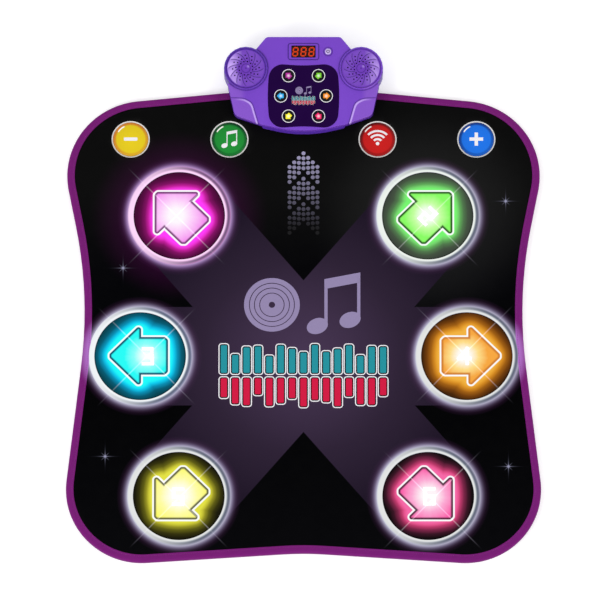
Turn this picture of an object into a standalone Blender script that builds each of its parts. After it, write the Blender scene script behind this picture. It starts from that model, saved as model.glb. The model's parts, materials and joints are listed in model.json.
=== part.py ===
"""Electronic dance mat: a padded mat with six arrow pads and four round buttons, and a wedge console.

Metres, +Z up. The origin is the middle of the mat on the surface it lies on, +Y points at the console.
"""

import math

import bmesh
import bpy
from mathutils import Vector

MM = 0.001
FULL_TURN = 2 * math.pi
GAP = 0.3 * MM

# Mat layers, from the floor up
BASE_SHEET = 0.8 * MM
LOWER_FOAM = 5.0 * MM
CONTACT_FILM = 0.4 * MM
SPACER = 1.0 * MM
UPPER_FOAM = 3.0 * MM
TOP_SHEET = 0.8 * MM

# Edge binding, folded round the stack
BINDING_CLOTH = 0.8 * MM
BINDING_FLAP = 12.0 * MM
BINDING_ROUND = 2.6 * MM
STACK_INSET = 3.6 * MM

# Arrow pads: number, x, y, direction of the arrow in degrees
PAD_REACH = 310.2 * MM
PAD_SPREAD = 236.4 * MM
PAD_ROWS = (216.4 * MM, -61.6 * MM, -337.4 * MM)
PADS = (
    (1, -PAD_SPREAD, PAD_ROWS[0], 135),
    (2, PAD_SPREAD, PAD_ROWS[0], 45),
    (3, -PAD_REACH, PAD_ROWS[1], 180),
    (4, PAD_REACH, PAD_ROWS[1], 0),
    (5, -PAD_SPREAD, PAD_ROWS[2], 225),
    (6, PAD_SPREAD, PAD_ROWS[2], 315),
)
PAD_TRAVEL = 2.0 * MM
WINDOW_RADIUS = 86.4 * MM
WINDOW_CLEARANCE = 0.6 * MM
WINDOW_RIM = 1.4 * MM
WINDOW_CROWN = 0.8 * MM
WINDOW_SHOULDER = 9.0 * MM
WINDOW_HOLE = WINDOW_RADIUS + WINDOW_CLEARANCE
RING_WIDTH = 11.0 * MM
RING_HEIGHT = 1.6 * MM
PLUNGER_MARGIN = 24.4 * MM
PLUNGER_RADIUS = WINDOW_RADIUS - PLUNGER_MARGIN
PLUNGER_CLEARANCE = 1.5 * MM
SEAT_DROP = 0.2 * MM
CONTACT_CLEARANCE = 0.4 * MM

# Arrow relief, pointing along +X, as sharp corners with their rounding
ARROW_TIP = 73.1 * MM
ARROW_HEAD_BACK = -0.7 * MM
ARROW_SHAFT = 41.2 * MM
ARROW_TAIL = -53.2 * MM
ARROW_ROUND = 12.0 * MM
ARROW_NOTCH_ROUND = 2.5 * MM
ARROW_RELIEF = 0.5 * MM

# Lamp boards under each pad, between the plunger and the edge of the hole
LAMP_BOARD_MARGIN = 7.0 * MM
LAMP_BOARD_WIDTH = 14.0 * MM
LAMP_BOARD_OUTER = WINDOW_HOLE - LAMP_BOARD_MARGIN
LAMP_BOARD_INNER = LAMP_BOARD_OUTER - LAMP_BOARD_WIDTH
LAMP_BOARD_ARC = math.radians(70)
LAMP_BOARD = 0.8 * MM
LAMP_SIZE = 5.0 * MM
LAMP_HEIGHT = 0.6 * MM
LAMP_ANGLES = (math.radians(-24), 0.0, math.radians(24))

# Mat outline, right half, as sharp corners with their rounding: x, y, radius.
# Its width follows the side pads.
PAD_SIDE = PAD_REACH + WINDOW_HOLE + RING_WIDTH
FRONT_OUTSET = 61.8 * MM
WAIST_OUTSET = -2.5 * MM
REAR_OUTSET = 70.7 * MM
FRONT_NOTCH = (0.0, -447.5 * MM, 600 * MM)
FRONT_CORNER = (PAD_SIDE + FRONT_OUTSET, -478.0 * MM, 144 * MM)
WAIST = (PAD_SIDE + WAIST_OUTSET, 58.9 * MM, 890 * MM)
REAR_CORNER = (PAD_SIDE + REAR_OUTSET, 428.8 * MM, 148.8 * MM)
REAR_CROWN = (0.0, 475.7 * MM, 1600 * MM)
MAT_CORNERS = (FRONT_NOTCH, FRONT_CORNER, WAIST, REAR_CORNER, REAR_CROWN)

# Round touch buttons: name, x
BUTTON_ROW = 368.3 * MM
BUTTONS = (
    ("volume_down_button", -329.2 * MM, "yellow"),
    ("mode_button", -141.1 * MM, "green"),
    ("wireless_button", 141.1 * MM, "red"),
    ("volume_up_button", 329.2 * MM, "blue"),
)
BUTTON_TRAVEL = 1.5 * MM
BUTTON_RADIUS = 33.3 * MM
BUTTON_CLEARANCE = 0.6 * MM
BUTTON_RIM = 1.0 * MM
BUTTON_CROWN = 1.2 * MM
BUTTON_SHOULDER = 4.5 * MM
BUTTON_STEM = 20.0 * MM
STEM_CLEARANCE = 1.5 * MM

# Console: its top face is tilted, and has its own frame at the middle of the front edge
FACE_TILT = math.radians(8)
FACE_FRONT_Y = 383.1 * MM
FACE_FRONT_Z = 33.0 * MM
COVER_DEPTH = 16.0 * MM
SHELL_WALL = 2.2 * MM
COVER_ROUND = 2.0 * MM
REAR_BLOCK_GAP = 6.5 * MM
FOOT_HEIGHT = 1.5 * MM

# Console outline on its face, right half: x, y, radius
COVER_FRONT = (0.0, -9.0 * MM, 250 * MM)
COVER_TURN = (79.0 * MM, 8.0 * MM, 20 * MM)
LIP_FRONT = (0.0, -13.9 * MM, 230 * MM)
LIP_CORNER = (77.5 * MM, 4.3 * MM, 3 * MM)
LIP_END = (79.0 * MM, 8.0 * MM, 0.5 * MM)
FACE_CORNER = (131.1 * MM, 26.5 * MM, 13 * MM)
FACE_SIDE = (144.8 * MM, 88.0 * MM, 3 * MM)
POD_LEDGE = (120.0 * MM, 92.0 * MM, 0.5 * MM)
SHOULDER = (102.0 * MM, 140.0 * MM, 0.5 * MM)
FACE_REAR = (70.7 * MM, 177.5 * MM, 9 * MM)
POD_CENTRE = (109.7 * MM, 116.4 * MM)
POD_RADIUS = 42.0 * MM

# Speakers in the pods
POD_RIM = 3.4 * MM
POD_RIM_STEP = 0.6 * MM
POD_RIM_HEIGHT = 4.0 * MM
GRILLE_RADIUS = 37.4 * MM
GRILLE_THICKNESS = 2.2 * MM
GRILLE_ROWS = 12
GRILLE_HOLE = 1.6 * MM
GRILLE_HOLE_STEPS = 6
GRILLE_RINGS = (13.1 * MM, 19.2 * MM, 25.2 * MM)
GRILLE_START = math.radians(17)
GRILLE_SWEEP = math.radians(8)
GRILLE_BOSS = 8.0 * MM
GRILLE_BOSS_HEIGHT = 1.2 * MM
SPEAKER_OPENING = 27.0 * MM
SPEAKER_FLANGE = 29.5 * MM
SPEAKER_CONE = 23.0 * MM
SPEAKER_DEPTH = 9.0 * MM
MAGNET_RADIUS = 13.0 * MM
MAGNET_DEPTH = 6.0 * MM

# Display, power button and printed panel on the face
DISPLAY_Y = 148.9 * MM
DISPLAY_SIZE = (46.3 * MM, 23.5 * MM)
BEZEL_SIZE = (57.5 * MM, 30.3 * MM)
BEZEL_HEIGHT = 1.4 * MM
BEZEL_ROUND = 4.0 * MM
DISPLAY_ROUND = 1.2 * MM
DISPLAY_WINDOW = 1.6 * MM
DISPLAY_MODULE = 6.0 * MM
POWER_X = 46.8 * MM
POWER_RADIUS = 5.8 * MM
POWER_COLLAR = 8.0 * MM
POWER_COLLAR_HEIGHT = 1.0 * MM
POWER_PROUD = 2.0 * MM
POWER_STEM = 3.0 * MM
POWER_TRAVEL = 0.8 * MM
SWITCH_HEIGHT = 3.0 * MM
SWITCH_SIZE = 6.0 * MM
PANEL_Y = 63.4 * MM
PANEL_HALF = (68.9 * MM, 62.8 * MM)
PANEL_BULGE = 4.8 * MM
PANEL_SIDE_ROUND = 400.0 * MM
PANEL_DIP = 5.2 * MM
PANEL_DIP_ROUND = 300.0 * MM
PANEL_ROUND = 27.0 * MM
PANEL_THICKNESS = 0.5 * MM
PANEL_CLEARANCE = 0.4 * MM
INDICATORS = (
    (-28.6 * MM, 39.0 * MM),
    (28.6 * MM, 39.0 * MM),
    (-43.2 * MM, 0.0),
    (43.2 * MM, 0.0),
    (-28.6 * MM, -39.0 * MM),
    (28.6 * MM, -39.0 * MM),
)
LIGHT_POST = 5.4 * MM
LIGHT_HOLE = 6.2 * MM
LIGHT_PLATE = 1.6 * MM
LIGHT_PLATE_HALF = (50.0 * MM, 46.0 * MM)
LIGHT_PLATE_BAND = 15.0 * MM
WING_STEP = 1.2 * MM
WING_CORNERS = (
    (170.0 * MM, 61.5 * MM, 1 * MM),
    (112.0 * MM, 59.5 * MM, 14 * MM),
    (97.0 * MM, 50.0 * MM, 12 * MM),
    (79.0 * MM, -12.0 * MM, 1 * MM),
    (170.0 * MM, -12.0 * MM, 1 * MM),
)

# Inside the console
BOARD_DROP = 12.4 * MM
BOARD_THICKNESS = 1.6 * MM
BOARD_HALF = 60.0 * MM
BOARD_FRONT = 14.0 * MM
BOARD_REAR = 158.0 * MM
SCREW_RADIUS = 1.5 * MM
SCREW_HEAD = 3.1 * MM
SCREW_HEAD_HEIGHT = 1.6 * MM
SCREW_CLEARANCE = 0.6 * MM
SCREW_BITE = 9.0 * MM
HEAD_CLEARANCE = 0.7 * MM
BOSS_RADIUS = 4.2 * MM
POST_RADIUS = 5.6 * MM
POST_BREAK = 0.6 * MM
FRONT_SCREW = (82.0 * MM, 429.0 * MM)
REAR_SCREW = (76.0 * MM, 535.0 * MM)
FRONT_HEAD_Z = 1.2 * MM
REAR_HEAD_Z = 14.0 * MM
FOOT_SIZE = (24.0 * MM, 8.0 * MM)
FOOT_X = 100.0 * MM
CLAMP_SIZE = (200.0 * MM, 34.0 * MM)
CLAMP_ROUND = 5.0 * MM
CLAMP_CLEARANCE = 1.0 * MM
TAIL_WIDTH = 24.0 * MM
TAIL_THICKNESS = 0.4 * MM
TAIL_Y = 400.0 * MM
TAIL_SLOT = 3.0 * MM

# Battery bay, its cells and its door
CELL_RADIUS = 7.1 * MM
CELL_LENGTH = 49.0 * MM
CELL_NIPPLE = (2.7 * MM, 1.2 * MM)
CELL_PITCH = 15.2 * MM
CELL_COUNT = 3
BAY_FRONT_ROOM = 19.5 * MM
BAY_WALL = 1.6 * MM
BAY_WALL_HEIGHT = 13.0 * MM
BAY_END_ROOM = 3.2 * MM
CONTACT_PLATE = 0.6 * MM
DOOR_THICKNESS = 2.0 * MM
DOOR_CLEARANCE = 0.6 * MM
DOOR_HINGE_INSET = 1.1 * MM
DOOR_TO_CELL = 0.7 * MM

PAD_STEPS = 32
FOAM_STEPS = 24
BUTTON_STEPS = 20
SCREW_STEPS = 10
CORNER_STEP = math.radians(10)
SHELL_STEP = math.radians(15)
SHELL_CHORD = 9 * MM

# How far a cutter runs past what it cuts
BEYOND = 10 * MM


def clear_scene():
    for obj in list(bpy.data.objects):
        bpy.data.objects.remove(obj)


def collection(name):
    made = bpy.data.collections.new(name)
    bpy.context.scene.collection.children.link(made)
    return made


def material(name, colour, roughness=0.5, metallic=0.0, glow=0.0):
    made = bpy.data.materials.new(name)
    made.use_nodes = True
    shader = made.node_tree.nodes["Principled BSDF"]
    shader.inputs["Base Color"].default_value = (*colour, 1)
    shader.inputs["Roughness"].default_value = roughness
    shader.inputs["Metallic"].default_value = metallic
    shader.inputs["Emission Color"].default_value = (*colour, 1)
    shader.inputs["Emission Strength"].default_value = glow
    return made


# Plane outlines

def circle(radius, steps, centre=(0.0, 0.0)):
    """A regular outline of so many steps, counter-clockwise."""
    turns = (FULL_TURN * i / steps for i in range(steps))
    return [(centre[0] + radius * math.cos(a), centre[1] + radius * math.sin(a)) for a in turns]


def rectangle(width, length, centre=(0.0, 0.0)):
    x, y = width / 2, length / 2
    return [(centre[0] + i * x, centre[1] + j * y) for i, j in ((-1, -1), (1, -1), (1, 1), (-1, 1))]


def rounded_rectangle(width, length, radius, centre=(0.0, 0.0)):
    return rounded_polygon([(x, y, radius) for x, y in rectangle(width, length, centre)])


def symmetric(half):
    """The whole counter-clockwise outline from its right half, which starts at the front."""
    return [*half, *((-x, y, r) for x, y, r in reversed(half) if x > 0)]


def left_of(direction):
    return Vector((-direction.y, direction.x))


def inset_corners(corners, inset):
    """The same sharp corners with every side moved inwards, and each rounding changed to stay parallel."""
    moved = []
    for i, (x, y, radius) in enumerate(corners):
        here = Vector((x, y))
        came = (here - Vector(corners[i - 1][:2])).normalized()
        goes = (Vector(corners[(i + 1) % len(corners)][:2]) - here).normalized()
        inward = left_of(came) + left_of(goes)
        here = here + inward * inset / (1 + left_of(came).dot(left_of(goes)))
        bulges = came.cross(goes) > 0
        moved.append((here.x, here.y, max(radius - inset if bulges else radius + inset, 0.2 * MM)))
    return moved


def rounded_polygon(corners, inset=0.0, step=CORNER_STEP, chord=math.inf):
    """Points along a polygon of (x, y, radius) corners, counter-clockwise, with each corner an arc."""
    corners = inset_corners(corners, inset)
    points = []
    for i, (x, y, radius) in enumerate(corners):
        here = Vector((x, y))
        came = (here - Vector(corners[i - 1][:2])).normalized()
        goes = (Vector(corners[(i + 1) % len(corners)][:2]) - here).normalized()
        turn = math.atan2(came.cross(goes), came.dot(goes))
        start = here - came * radius * math.tan(abs(turn) / 2)
        side = left_of(came) * math.copysign(radius, turn)
        steps = max(2, math.ceil(abs(turn) / step), math.ceil(abs(turn) * radius / chord))
        for k in range(steps + 1):
            angle = turn * k / steps
            spoke = Vector((
                -side.x * math.cos(angle) + side.y * math.sin(angle),
                -side.x * math.sin(angle) - side.y * math.cos(angle),
            ))
            points.append(tuple(start + side + spoke))
    return points


def mat_outline(inset=0.0):
    return rounded_polygon(symmetric(MAT_CORNERS), inset)


def meets_circle(start, end, centre, radius, last):
    """Where the line from start to end crosses a circle, at its first or last crossing."""
    along = (end - start).normalized()
    to_centre = centre - start
    middle = to_centre.dot(along)
    half_chord = math.sqrt(radius**2 - (to_centre.length_squared - middle**2))
    return start + along * (middle + (half_chord if last else -half_chord))


def console_outline(inset=0.0, lip=False):
    """The console seen square to its face: a body with a round speaker pod on each shoulder."""
    front = [LIP_FRONT, LIP_CORNER, LIP_END] if lip else [COVER_FRONT, COVER_TURN]
    body = [*front, FACE_CORNER, FACE_SIDE, POD_LEDGE, SHOULDER, FACE_REAR]
    corners = inset_corners(symmetric(body), inset)
    ledge = len(front) + 2
    whole = rounded_polygon(symmetric(body), inset, SHELL_STEP, SHELL_CHORD)
    rounded = [p for p in whole if p[0] > 0.1 * MM]
    centre, radius = Vector(POD_CENTRE), POD_RADIUS - inset
    side, inner, shoulder, rear = (Vector(corners[ledge + i][:2]) for i in (-1, 0, 1, 2))
    enters = meets_circle(side, inner, centre, radius, last=False)
    leaves = meets_circle(shoulder, rear, centre, radius, last=True)
    before = [p for p in rounded if p[1] < enters.y]
    after = [p for p in rounded if p[1] > leaves.y]
    first, last = ((p - centre).to_tuple() for p in (enters, leaves))
    start, end = math.atan2(first[1], first[0]), math.atan2(last[1], last[0])
    steps = math.ceil((end - start) / SHELL_STEP)
    turns = (start + (end - start) * k / steps for k in range(steps + 1))
    pod = [(centre.x + radius * math.cos(a), centre.y + radius * math.sin(a)) for a in turns]
    right = [*before, *pod, *after]
    return [*right, *((-x, y) for x, y in reversed(right))]


# Solids

def add(mesh, name, group, location=(0, 0, 0), turn=0.0, parent=None):
    obj = bpy.data.objects.new(name, mesh)
    obj.location = location
    obj.rotation_euler.z = turn
    obj.parent = parent
    group.objects.link(obj)
    return obj


def prism_mesh(name, loops, low, high):
    """A flat outline with holes, as thick as from low to high. A loop inside another is a hole."""
    curve = bpy.data.curves.new(name, "CURVE")
    curve.dimensions = "2D"
    curve.fill_mode = "BOTH"
    curve.extrude = (high - low) / 2
    for loop in loops:
        spline = curve.splines.new("POLY")
        spline.points.add(len(loop) - 1)
        spline.points.foreach_set("co", [c for x, y in loop for c in (x, y, 0, 1)])
        spline.use_cyclic_u = True
    holder = bpy.data.objects.new(name, curve)
    bpy.context.scene.collection.objects.link(holder)
    graph = bpy.context.evaluated_depsgraph_get()
    mesh = bpy.data.meshes.new_from_object(holder.evaluated_get(graph))
    bpy.data.objects.remove(holder)
    body = bmesh.new()
    body.from_mesh(mesh)
    bmesh.ops.remove_doubles(body, verts=body.verts, dist=0.01 * MM)
    bmesh.ops.translate(body, verts=body.verts, vec=(0, 0, (low + high) / 2))
    bmesh.ops.recalc_face_normals(body, faces=body.faces)
    bmesh.ops.dissolve_limit(body, angle_limit=math.radians(0.1), verts=body.verts, edges=body.edges)
    body.to_mesh(mesh)
    body.free()
    return mesh


def turned_mesh(name, profile, steps):
    """A profile of (radius, height) points, down its outer side, turned about Z."""
    mesh = bpy.data.meshes.new(name)
    closed = profile[0][0] > 0
    count = len(profile)
    edges = [(i, (i + 1) % count) for i in range(count if closed else count - 1)]
    mesh.from_pydata([(r, 0, z) for r, z in profile], edges, [])
    holder = bpy.data.objects.new(name, mesh)
    bpy.context.scene.collection.objects.link(holder)
    screw = holder.modifiers.new("turn", "SCREW")
    screw.steps = screw.render_steps = steps
    screw.use_merge_vertices = True
    screw.merge_threshold = 0.01 * MM
    graph = bpy.context.evaluated_depsgraph_get()
    made = bpy.data.meshes.new_from_object(holder.evaluated_get(graph))
    bpy.data.objects.remove(holder)
    return made


def round_rim(mesh, height, width, segments=2):
    """Rounds the edges that lie at one height of a prism."""
    body = bmesh.new()
    body.from_mesh(mesh)
    rim = [
        e
        for e in body.edges
        if all(abs(v.co.z - height) < 0.01 * MM for v in e.verts)
        and e.calc_face_angle(0.0) > math.radians(60)
    ]
    bmesh.ops.bevel(body, geom=rim, offset=width, segments=segments, affect="EDGES", profile=0.5)
    for vert in body.verts:
        if abs(vert.co.z - height) < 0.01 * MM:
            vert.co.z = height
    body.to_mesh(mesh)
    body.free()


def combine(target, tool, operation):
    modifier = target.modifiers.new(f"{operation.lower()} {tool.name}", "BOOLEAN")
    modifier.operation = operation
    modifier.object = tool
    modifier.solver = "EXACT"


class Workshop:
    """Holds the collections, the materials and the tilted frame of the console's face."""

    def __init__(self):
        self.parts = collection("dance_mat")
        self.cutters = collection("cutters")
        self.paint = {
            "print": material("printed_cover", (0.012, 0.012, 0.016), 0.55),
            "binding": material("purple_tape", (0.19, 0.017, 0.18), 0.7),
            "foam": material("foam", (0.55, 0.55, 0.56), 0.9),
            "film": material("film", (0.72, 0.74, 0.70), 0.3),
            "grip": material("grip_cloth", (0.04, 0.04, 0.045), 0.9),
            "ring": material("ring_diffuser", (0.9, 0.9, 0.95), 0.3, glow=1.0),
            "board": material("circuit_board", (0.02, 0.16, 0.06), 0.4),
            "shell": material("purple_shell", (0.18, 0.065, 0.56), 0.35),
            "grille": material("purple_grille", (0.2, 0.08, 0.6), 0.4),
            "panel": material("printed_panel", (0.017, 0.002, 0.05), 0.35),
            "display": material("red_window", (0.1, 0.006, 0.004), 0.1),
            "digits": material("digit_module", (0.03, 0.03, 0.03), 0.5),
            "clear": material("light_guide", (0.8, 0.85, 0.85), 0.1),
            "chrome": material("power_cap", (0.75, 0.72, 0.82), 0.25),
            "steel": material("steel", (0.55, 0.55, 0.56), 0.3, 1.0),
            "cell": material("cell_jacket", (0.05, 0.05, 0.06), 0.35, 0.4),
            "cone": material("speaker_cone", (0.03, 0.03, 0.03), 0.7),
            "dark": material("dark_plastic", (0.03, 0.028, 0.035), 0.5),
            "yellow": material("yellow_cap", (0.7, 0.48, 0.01), 0.3),
            "green": material("green_cap", (0.01, 0.24, 0.03), 0.3),
            "red": material("red_cap", (0.5, 0.01, 0.01), 0.3),
            "blue": material("blue_cap", (0.01, 0.16, 0.72), 0.3),
        }
        self.face = bpy.data.objects.new("face_frame", None)
        self.face.location = (0, FACE_FRONT_Y, FACE_FRONT_Z)
        self.face.rotation_euler.x = FACE_TILT
        self.parts.objects.link(self.face)

    def part(self, name, mesh, paint, location=(0, 0, 0), turn=0.0, parent=None):
        if not mesh.materials:
            mesh.materials.append(self.paint[paint])
        return add(mesh, name, self.parts, location, turn, parent)

    def tool(self, name, mesh, parent=None, location=(0, 0, 0)):
        made = add(mesh, name, self.cutters, location, 0.0, parent)
        made.hide_render = True
        made.display_type = "WIRE"
        return made


def stack_levels():
    """Lowest and highest height of each mat layer, in order from the floor."""
    names = ("base_sheet", "lower_foam", "contact_film", "spacer_sheet", "upper_foam", "top_sheet")
    sizes = (BASE_SHEET, LOWER_FOAM, CONTACT_FILM, SPACER, UPPER_FOAM, TOP_SHEET)
    levels, low = {}, 0.0
    for name, size in zip(names, sizes):
        levels[name] = (low, low + size)
        low += size + GAP
    return levels


LEVELS = stack_levels()
MAT_TOP = LEVELS["top_sheet"][1]
FILM_TOP = LEVELS["contact_film"][1]
SEAT = MAT_TOP - SEAT_DROP
BUTTON_HOLE = BUTTON_RADIUS + BUTTON_CLEARANCE
SHAFT_HOLE = SCREW_RADIUS + SCREW_CLEARANCE
HEAD_HOLE = SCREW_HEAD + HEAD_CLEARANCE
BINDING_TOP = MAT_TOP + GAP + BINDING_CLOTH
UNDERSIDE = BINDING_TOP + GAP
MAT_REAR = max(y for x, y in mat_outline())
STEP_Y = MAT_REAR + REAR_BLOCK_GAP
BAY_SIZE = (CELL_LENGTH + 2 * BAY_END_ROOM + 2 * CONTACT_PLATE, CELL_PITCH * CELL_COUNT + GAP)
BAY_CENTRE_Y = STEP_Y + BAY_FRONT_ROOM + BAY_SIZE[1] / 2
FRONT_SCREWS = [(side * FRONT_SCREW[0], FRONT_SCREW[1]) for side in (-1, 1)]
REAR_SCREWS = [(side * REAR_SCREW[0], REAR_SCREW[1]) for side in (-1, 1)]


def face_height(y, depth=0.0):
    """World height of the console's face, or of a plane so deep below it, at a world y."""
    return FACE_FRONT_Z + (y - FACE_FRONT_Y) * math.tan(FACE_TILT) - depth / math.cos(FACE_TILT)


# The mat

def shaft_holes():
    return [circle(SHAFT_HOLE, SCREW_STEPS, centre) for centre in FRONT_SCREWS]


def tail_hole():
    return rectangle(TAIL_WIDTH + TAIL_SLOT, TAIL_SLOT, (0, TAIL_Y))


def pad_holes(radius, steps):
    return [circle(radius, steps, (x, y)) for _, x, y, _ in PADS]


def button_holes(radius):
    return [circle(radius, BUTTON_STEPS, (x, BUTTON_ROW)) for _, x, _ in BUTTONS]


def clamp_outline(clearance=0.0):
    width, length = (size + 2 * clearance for size in CLAMP_SIZE)
    return rounded_rectangle(width, length, CLAMP_ROUND + clearance, (0, FRONT_SCREW[1]))


def make_layers(shop):
    clamp_hole = [clamp_outline(CLAMP_CLEARANCE)]
    top_holes = [*pad_holes(WINDOW_HOLE, PAD_STEPS), *button_holes(BUTTON_HOLE)]
    spacer_holes = [
        *pad_holes(PLUNGER_RADIUS + PLUNGER_CLEARANCE, FOAM_STEPS),
        *button_holes(BUTTON_STEM + STEM_CLEARANCE),
    ]
    through = [*shaft_holes(), tail_hole()]
    layers = (
        ("base_sheet", BINDING_FLAP + GAP, clamp_hole, "grip"),
        ("lower_foam", STACK_INSET, clamp_hole, "foam"),
        ("contact_film", STACK_INSET, shaft_holes(), "film"),
        ("spacer_sheet", STACK_INSET, [*spacer_holes, *through], "foam"),
        ("upper_foam", STACK_INSET, [*top_holes, *through], "foam"),
        ("top_sheet", STACK_INSET, [*top_holes, *through], "print"),
    )
    for name, inset, holes, paint in layers:
        shop.part(name, prism_mesh(name, [mat_outline(inset), *holes], *LEVELS[name]), paint)


def binding_profile():
    """The folded tape in section, as (inset from the mat's edge, height), once round."""
    top = BINDING_TOP
    outer, cloth, flap = BINDING_ROUND, BINDING_CLOTH, BINDING_FLAP
    soft = outer * 0.3
    fold = [(flap, 0), (outer, 0), (soft, soft), (0, outer)]
    inner = [(cloth, outer), (outer, cloth), (flap, cloth)]
    return [
        *fold,
        *((d, top - z) for d, z in reversed(fold)),
        *((d, top - z) for d, z in reversed(inner)),
        *inner,
    ]


def make_binding(shop):
    """The tape is a closed section carried along the mat's outline."""
    rings = [[(x, y, z) for x, y in mat_outline(d)] for d, z in binding_profile()]
    count, sides = len(rings[0]), len(rings)
    mesh = bpy.data.meshes.new("edge_binding")
    faces = [
        (s * count + i, s * count + (i + 1) % count,
         (s + 1) % sides * count + (i + 1) % count, (s + 1) % sides * count + i)
        for s in range(sides)
        for i in range(count)
    ]
    mesh.from_pydata([p for ring in rings for p in ring], [], faces)
    shop.part("edge_binding", mesh, "binding")


def arrow_outline():
    head = ARROW_TIP - ARROW_HEAD_BACK
    return rounded_polygon([
        (ARROW_TIP, 0, ARROW_ROUND),
        (ARROW_HEAD_BACK, head, ARROW_ROUND),
        (ARROW_HEAD_BACK, ARROW_SHAFT, ARROW_NOTCH_ROUND),
        (ARROW_TAIL, ARROW_SHAFT, ARROW_ROUND),
        (ARROW_TAIL, -ARROW_SHAFT, ARROW_ROUND),
        (ARROW_HEAD_BACK, -ARROW_SHAFT, ARROW_NOTCH_ROUND),
        (ARROW_HEAD_BACK, -head, ARROW_ROUND),
    ], step=math.radians(30))


def window_mesh(shop):
    """A crowned disc with a raised arrow that points along +X. Its origin is on the pad's axis."""
    rim = SEAT + WINDOW_RIM
    crown = rim + WINDOW_CROWN
    profile = [
        (0, crown),
        (WINDOW_RADIUS - WINDOW_SHOULDER, crown),
        (WINDOW_RADIUS - WINDOW_SHOULDER * 0.3, rim + WINDOW_CROWN * 0.4),
        (WINDOW_RADIUS, rim - WINDOW_RIM * 0.3),
        (WINDOW_RADIUS, SEAT),
        (0, SEAT),
    ]
    disc = shop.tool("window_blank", turned_mesh("window_blank", profile, PAD_STEPS))
    arrow_low = crown - WINDOW_RIM * 0.5
    arrow = prism_mesh("arrow_blank", [arrow_outline()], arrow_low, crown + ARROW_RELIEF)
    combine(disc, shop.tool("arrow_blank", arrow), "UNION")
    graph = bpy.context.evaluated_depsgraph_get()
    return bpy.data.meshes.new_from_object(disc.evaluated_get(graph))


def ring_mesh():
    low = MAT_TOP + GAP
    inner, outer, high = WINDOW_HOLE, WINDOW_HOLE + RING_WIDTH, low + RING_HEIGHT
    profile = [
        (inner + RING_WIDTH * 0.35, high),
        (outer - RING_WIDTH * 0.2, low + RING_HEIGHT * 0.75),
        (outer, low),
        (inner, low),
        (inner, low + RING_HEIGHT * 0.7),
    ]
    return turned_mesh("pad_ring", profile, PAD_STEPS)


def lamp_board_mesh(shop):
    """A circuit board bent round the plunger, with three lamps on it."""
    low = LEVELS["spacer_sheet"][1] + GAP
    steps = 6
    turns = [LAMP_BOARD_ARC * (k / steps - 0.5) for k in range(steps + 1)]
    outer = [(LAMP_BOARD_OUTER * math.cos(a), LAMP_BOARD_OUTER * math.sin(a)) for a in turns]
    inner = [(LAMP_BOARD_INNER * math.cos(a), LAMP_BOARD_INNER * math.sin(a)) for a in reversed(turns)]
    board_mesh = prism_mesh("lamp_board_blank", [[*outer, *inner]], low, low + LAMP_BOARD)
    board = shop.tool("lamp_board_blank", board_mesh)
    middle = (LAMP_BOARD_INNER + LAMP_BOARD_OUTER) / 2
    spots = [(middle * math.cos(a), middle * math.sin(a)) for a in LAMP_ANGLES]
    lamps = prism_mesh(
        "lamps_blank",
        [rectangle(LAMP_SIZE, LAMP_SIZE, spot) for spot in spots],
        low + LAMP_BOARD / 2,
        low + LAMP_BOARD + LAMP_HEIGHT,
    )
    combine(board, shop.tool("lamps_blank", lamps), "UNION")
    graph = bpy.context.evaluated_depsgraph_get()
    return bpy.data.meshes.new_from_object(board.evaluated_get(graph))


def make_pads(shop):
    window, ring, lamps = window_mesh(shop), ring_mesh(), lamp_board_mesh(shop)
    low = FILM_TOP + PAD_TRAVEL + CONTACT_CLEARANCE
    plunger = prism_mesh("pad_plunger", [circle(PLUNGER_RADIUS, FOAM_STEPS)], low, SEAT - GAP)
    for number, x, y, degrees in PADS:
        place, turn = (x, y, 0), math.radians(degrees)
        shop.part(f"pad_ring_{number}", ring, "ring", place)
        shop.part(f"pad_window_{number}", window, "clear", place, turn)
        shop.part(f"pad_plunger_{number}", plunger, "foam", place)
        shop.part(f"pad_lamp_board_{number}", lamps, "board", place, turn)


def make_buttons(shop):
    """Each button is a crowned cap with a stem that reaches for the contact film."""
    rim = SEAT + BUTTON_RIM
    profile = [
        (0, rim + BUTTON_CROWN),
        (BUTTON_RADIUS - BUTTON_SHOULDER, rim + BUTTON_CROWN),
        (BUTTON_RADIUS - BUTTON_SHOULDER * 0.3, rim + BUTTON_CROWN * 0.65),
        (BUTTON_RADIUS, rim - BUTTON_RIM * 0.3),
        (BUTTON_RADIUS, SEAT),
        (BUTTON_STEM, SEAT),
        (BUTTON_STEM, FILM_TOP + BUTTON_TRAVEL + CONTACT_CLEARANCE),
        (0, FILM_TOP + BUTTON_TRAVEL + CONTACT_CLEARANCE),
    ]
    for name, x, colour in BUTTONS:
        mesh = turned_mesh(name, profile, BUTTON_STEPS)
        shop.part(name, mesh, colour, (x, BUTTON_ROW, 0))


# The console

def panel_outline(inset=0.0):
    """A rounded square whose left and right sides bulge and whose front and rear dip inwards."""
    x, y = PANEL_HALF
    corners = [
        (0, PANEL_DIP - y, PANEL_DIP_ROUND),
        (x - PANEL_BULGE, -y, PANEL_ROUND),
        (x, 0, PANEL_SIDE_ROUND),
        (x - PANEL_BULGE, y, PANEL_ROUND),
        (0, y - PANEL_DIP, PANEL_DIP_ROUND),
    ]
    outline = rounded_polygon(symmetric(corners), inset, chord=SHELL_CHORD)
    return [(px, py + PANEL_Y) for px, py in outline]


def light_spots():
    return [(x, PANEL_Y + y) for x, y in INDICATORS]


def pods():
    return [(side * POD_CENTRE[0], POD_CENTRE[1]) for side in (-1, 1)]


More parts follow.
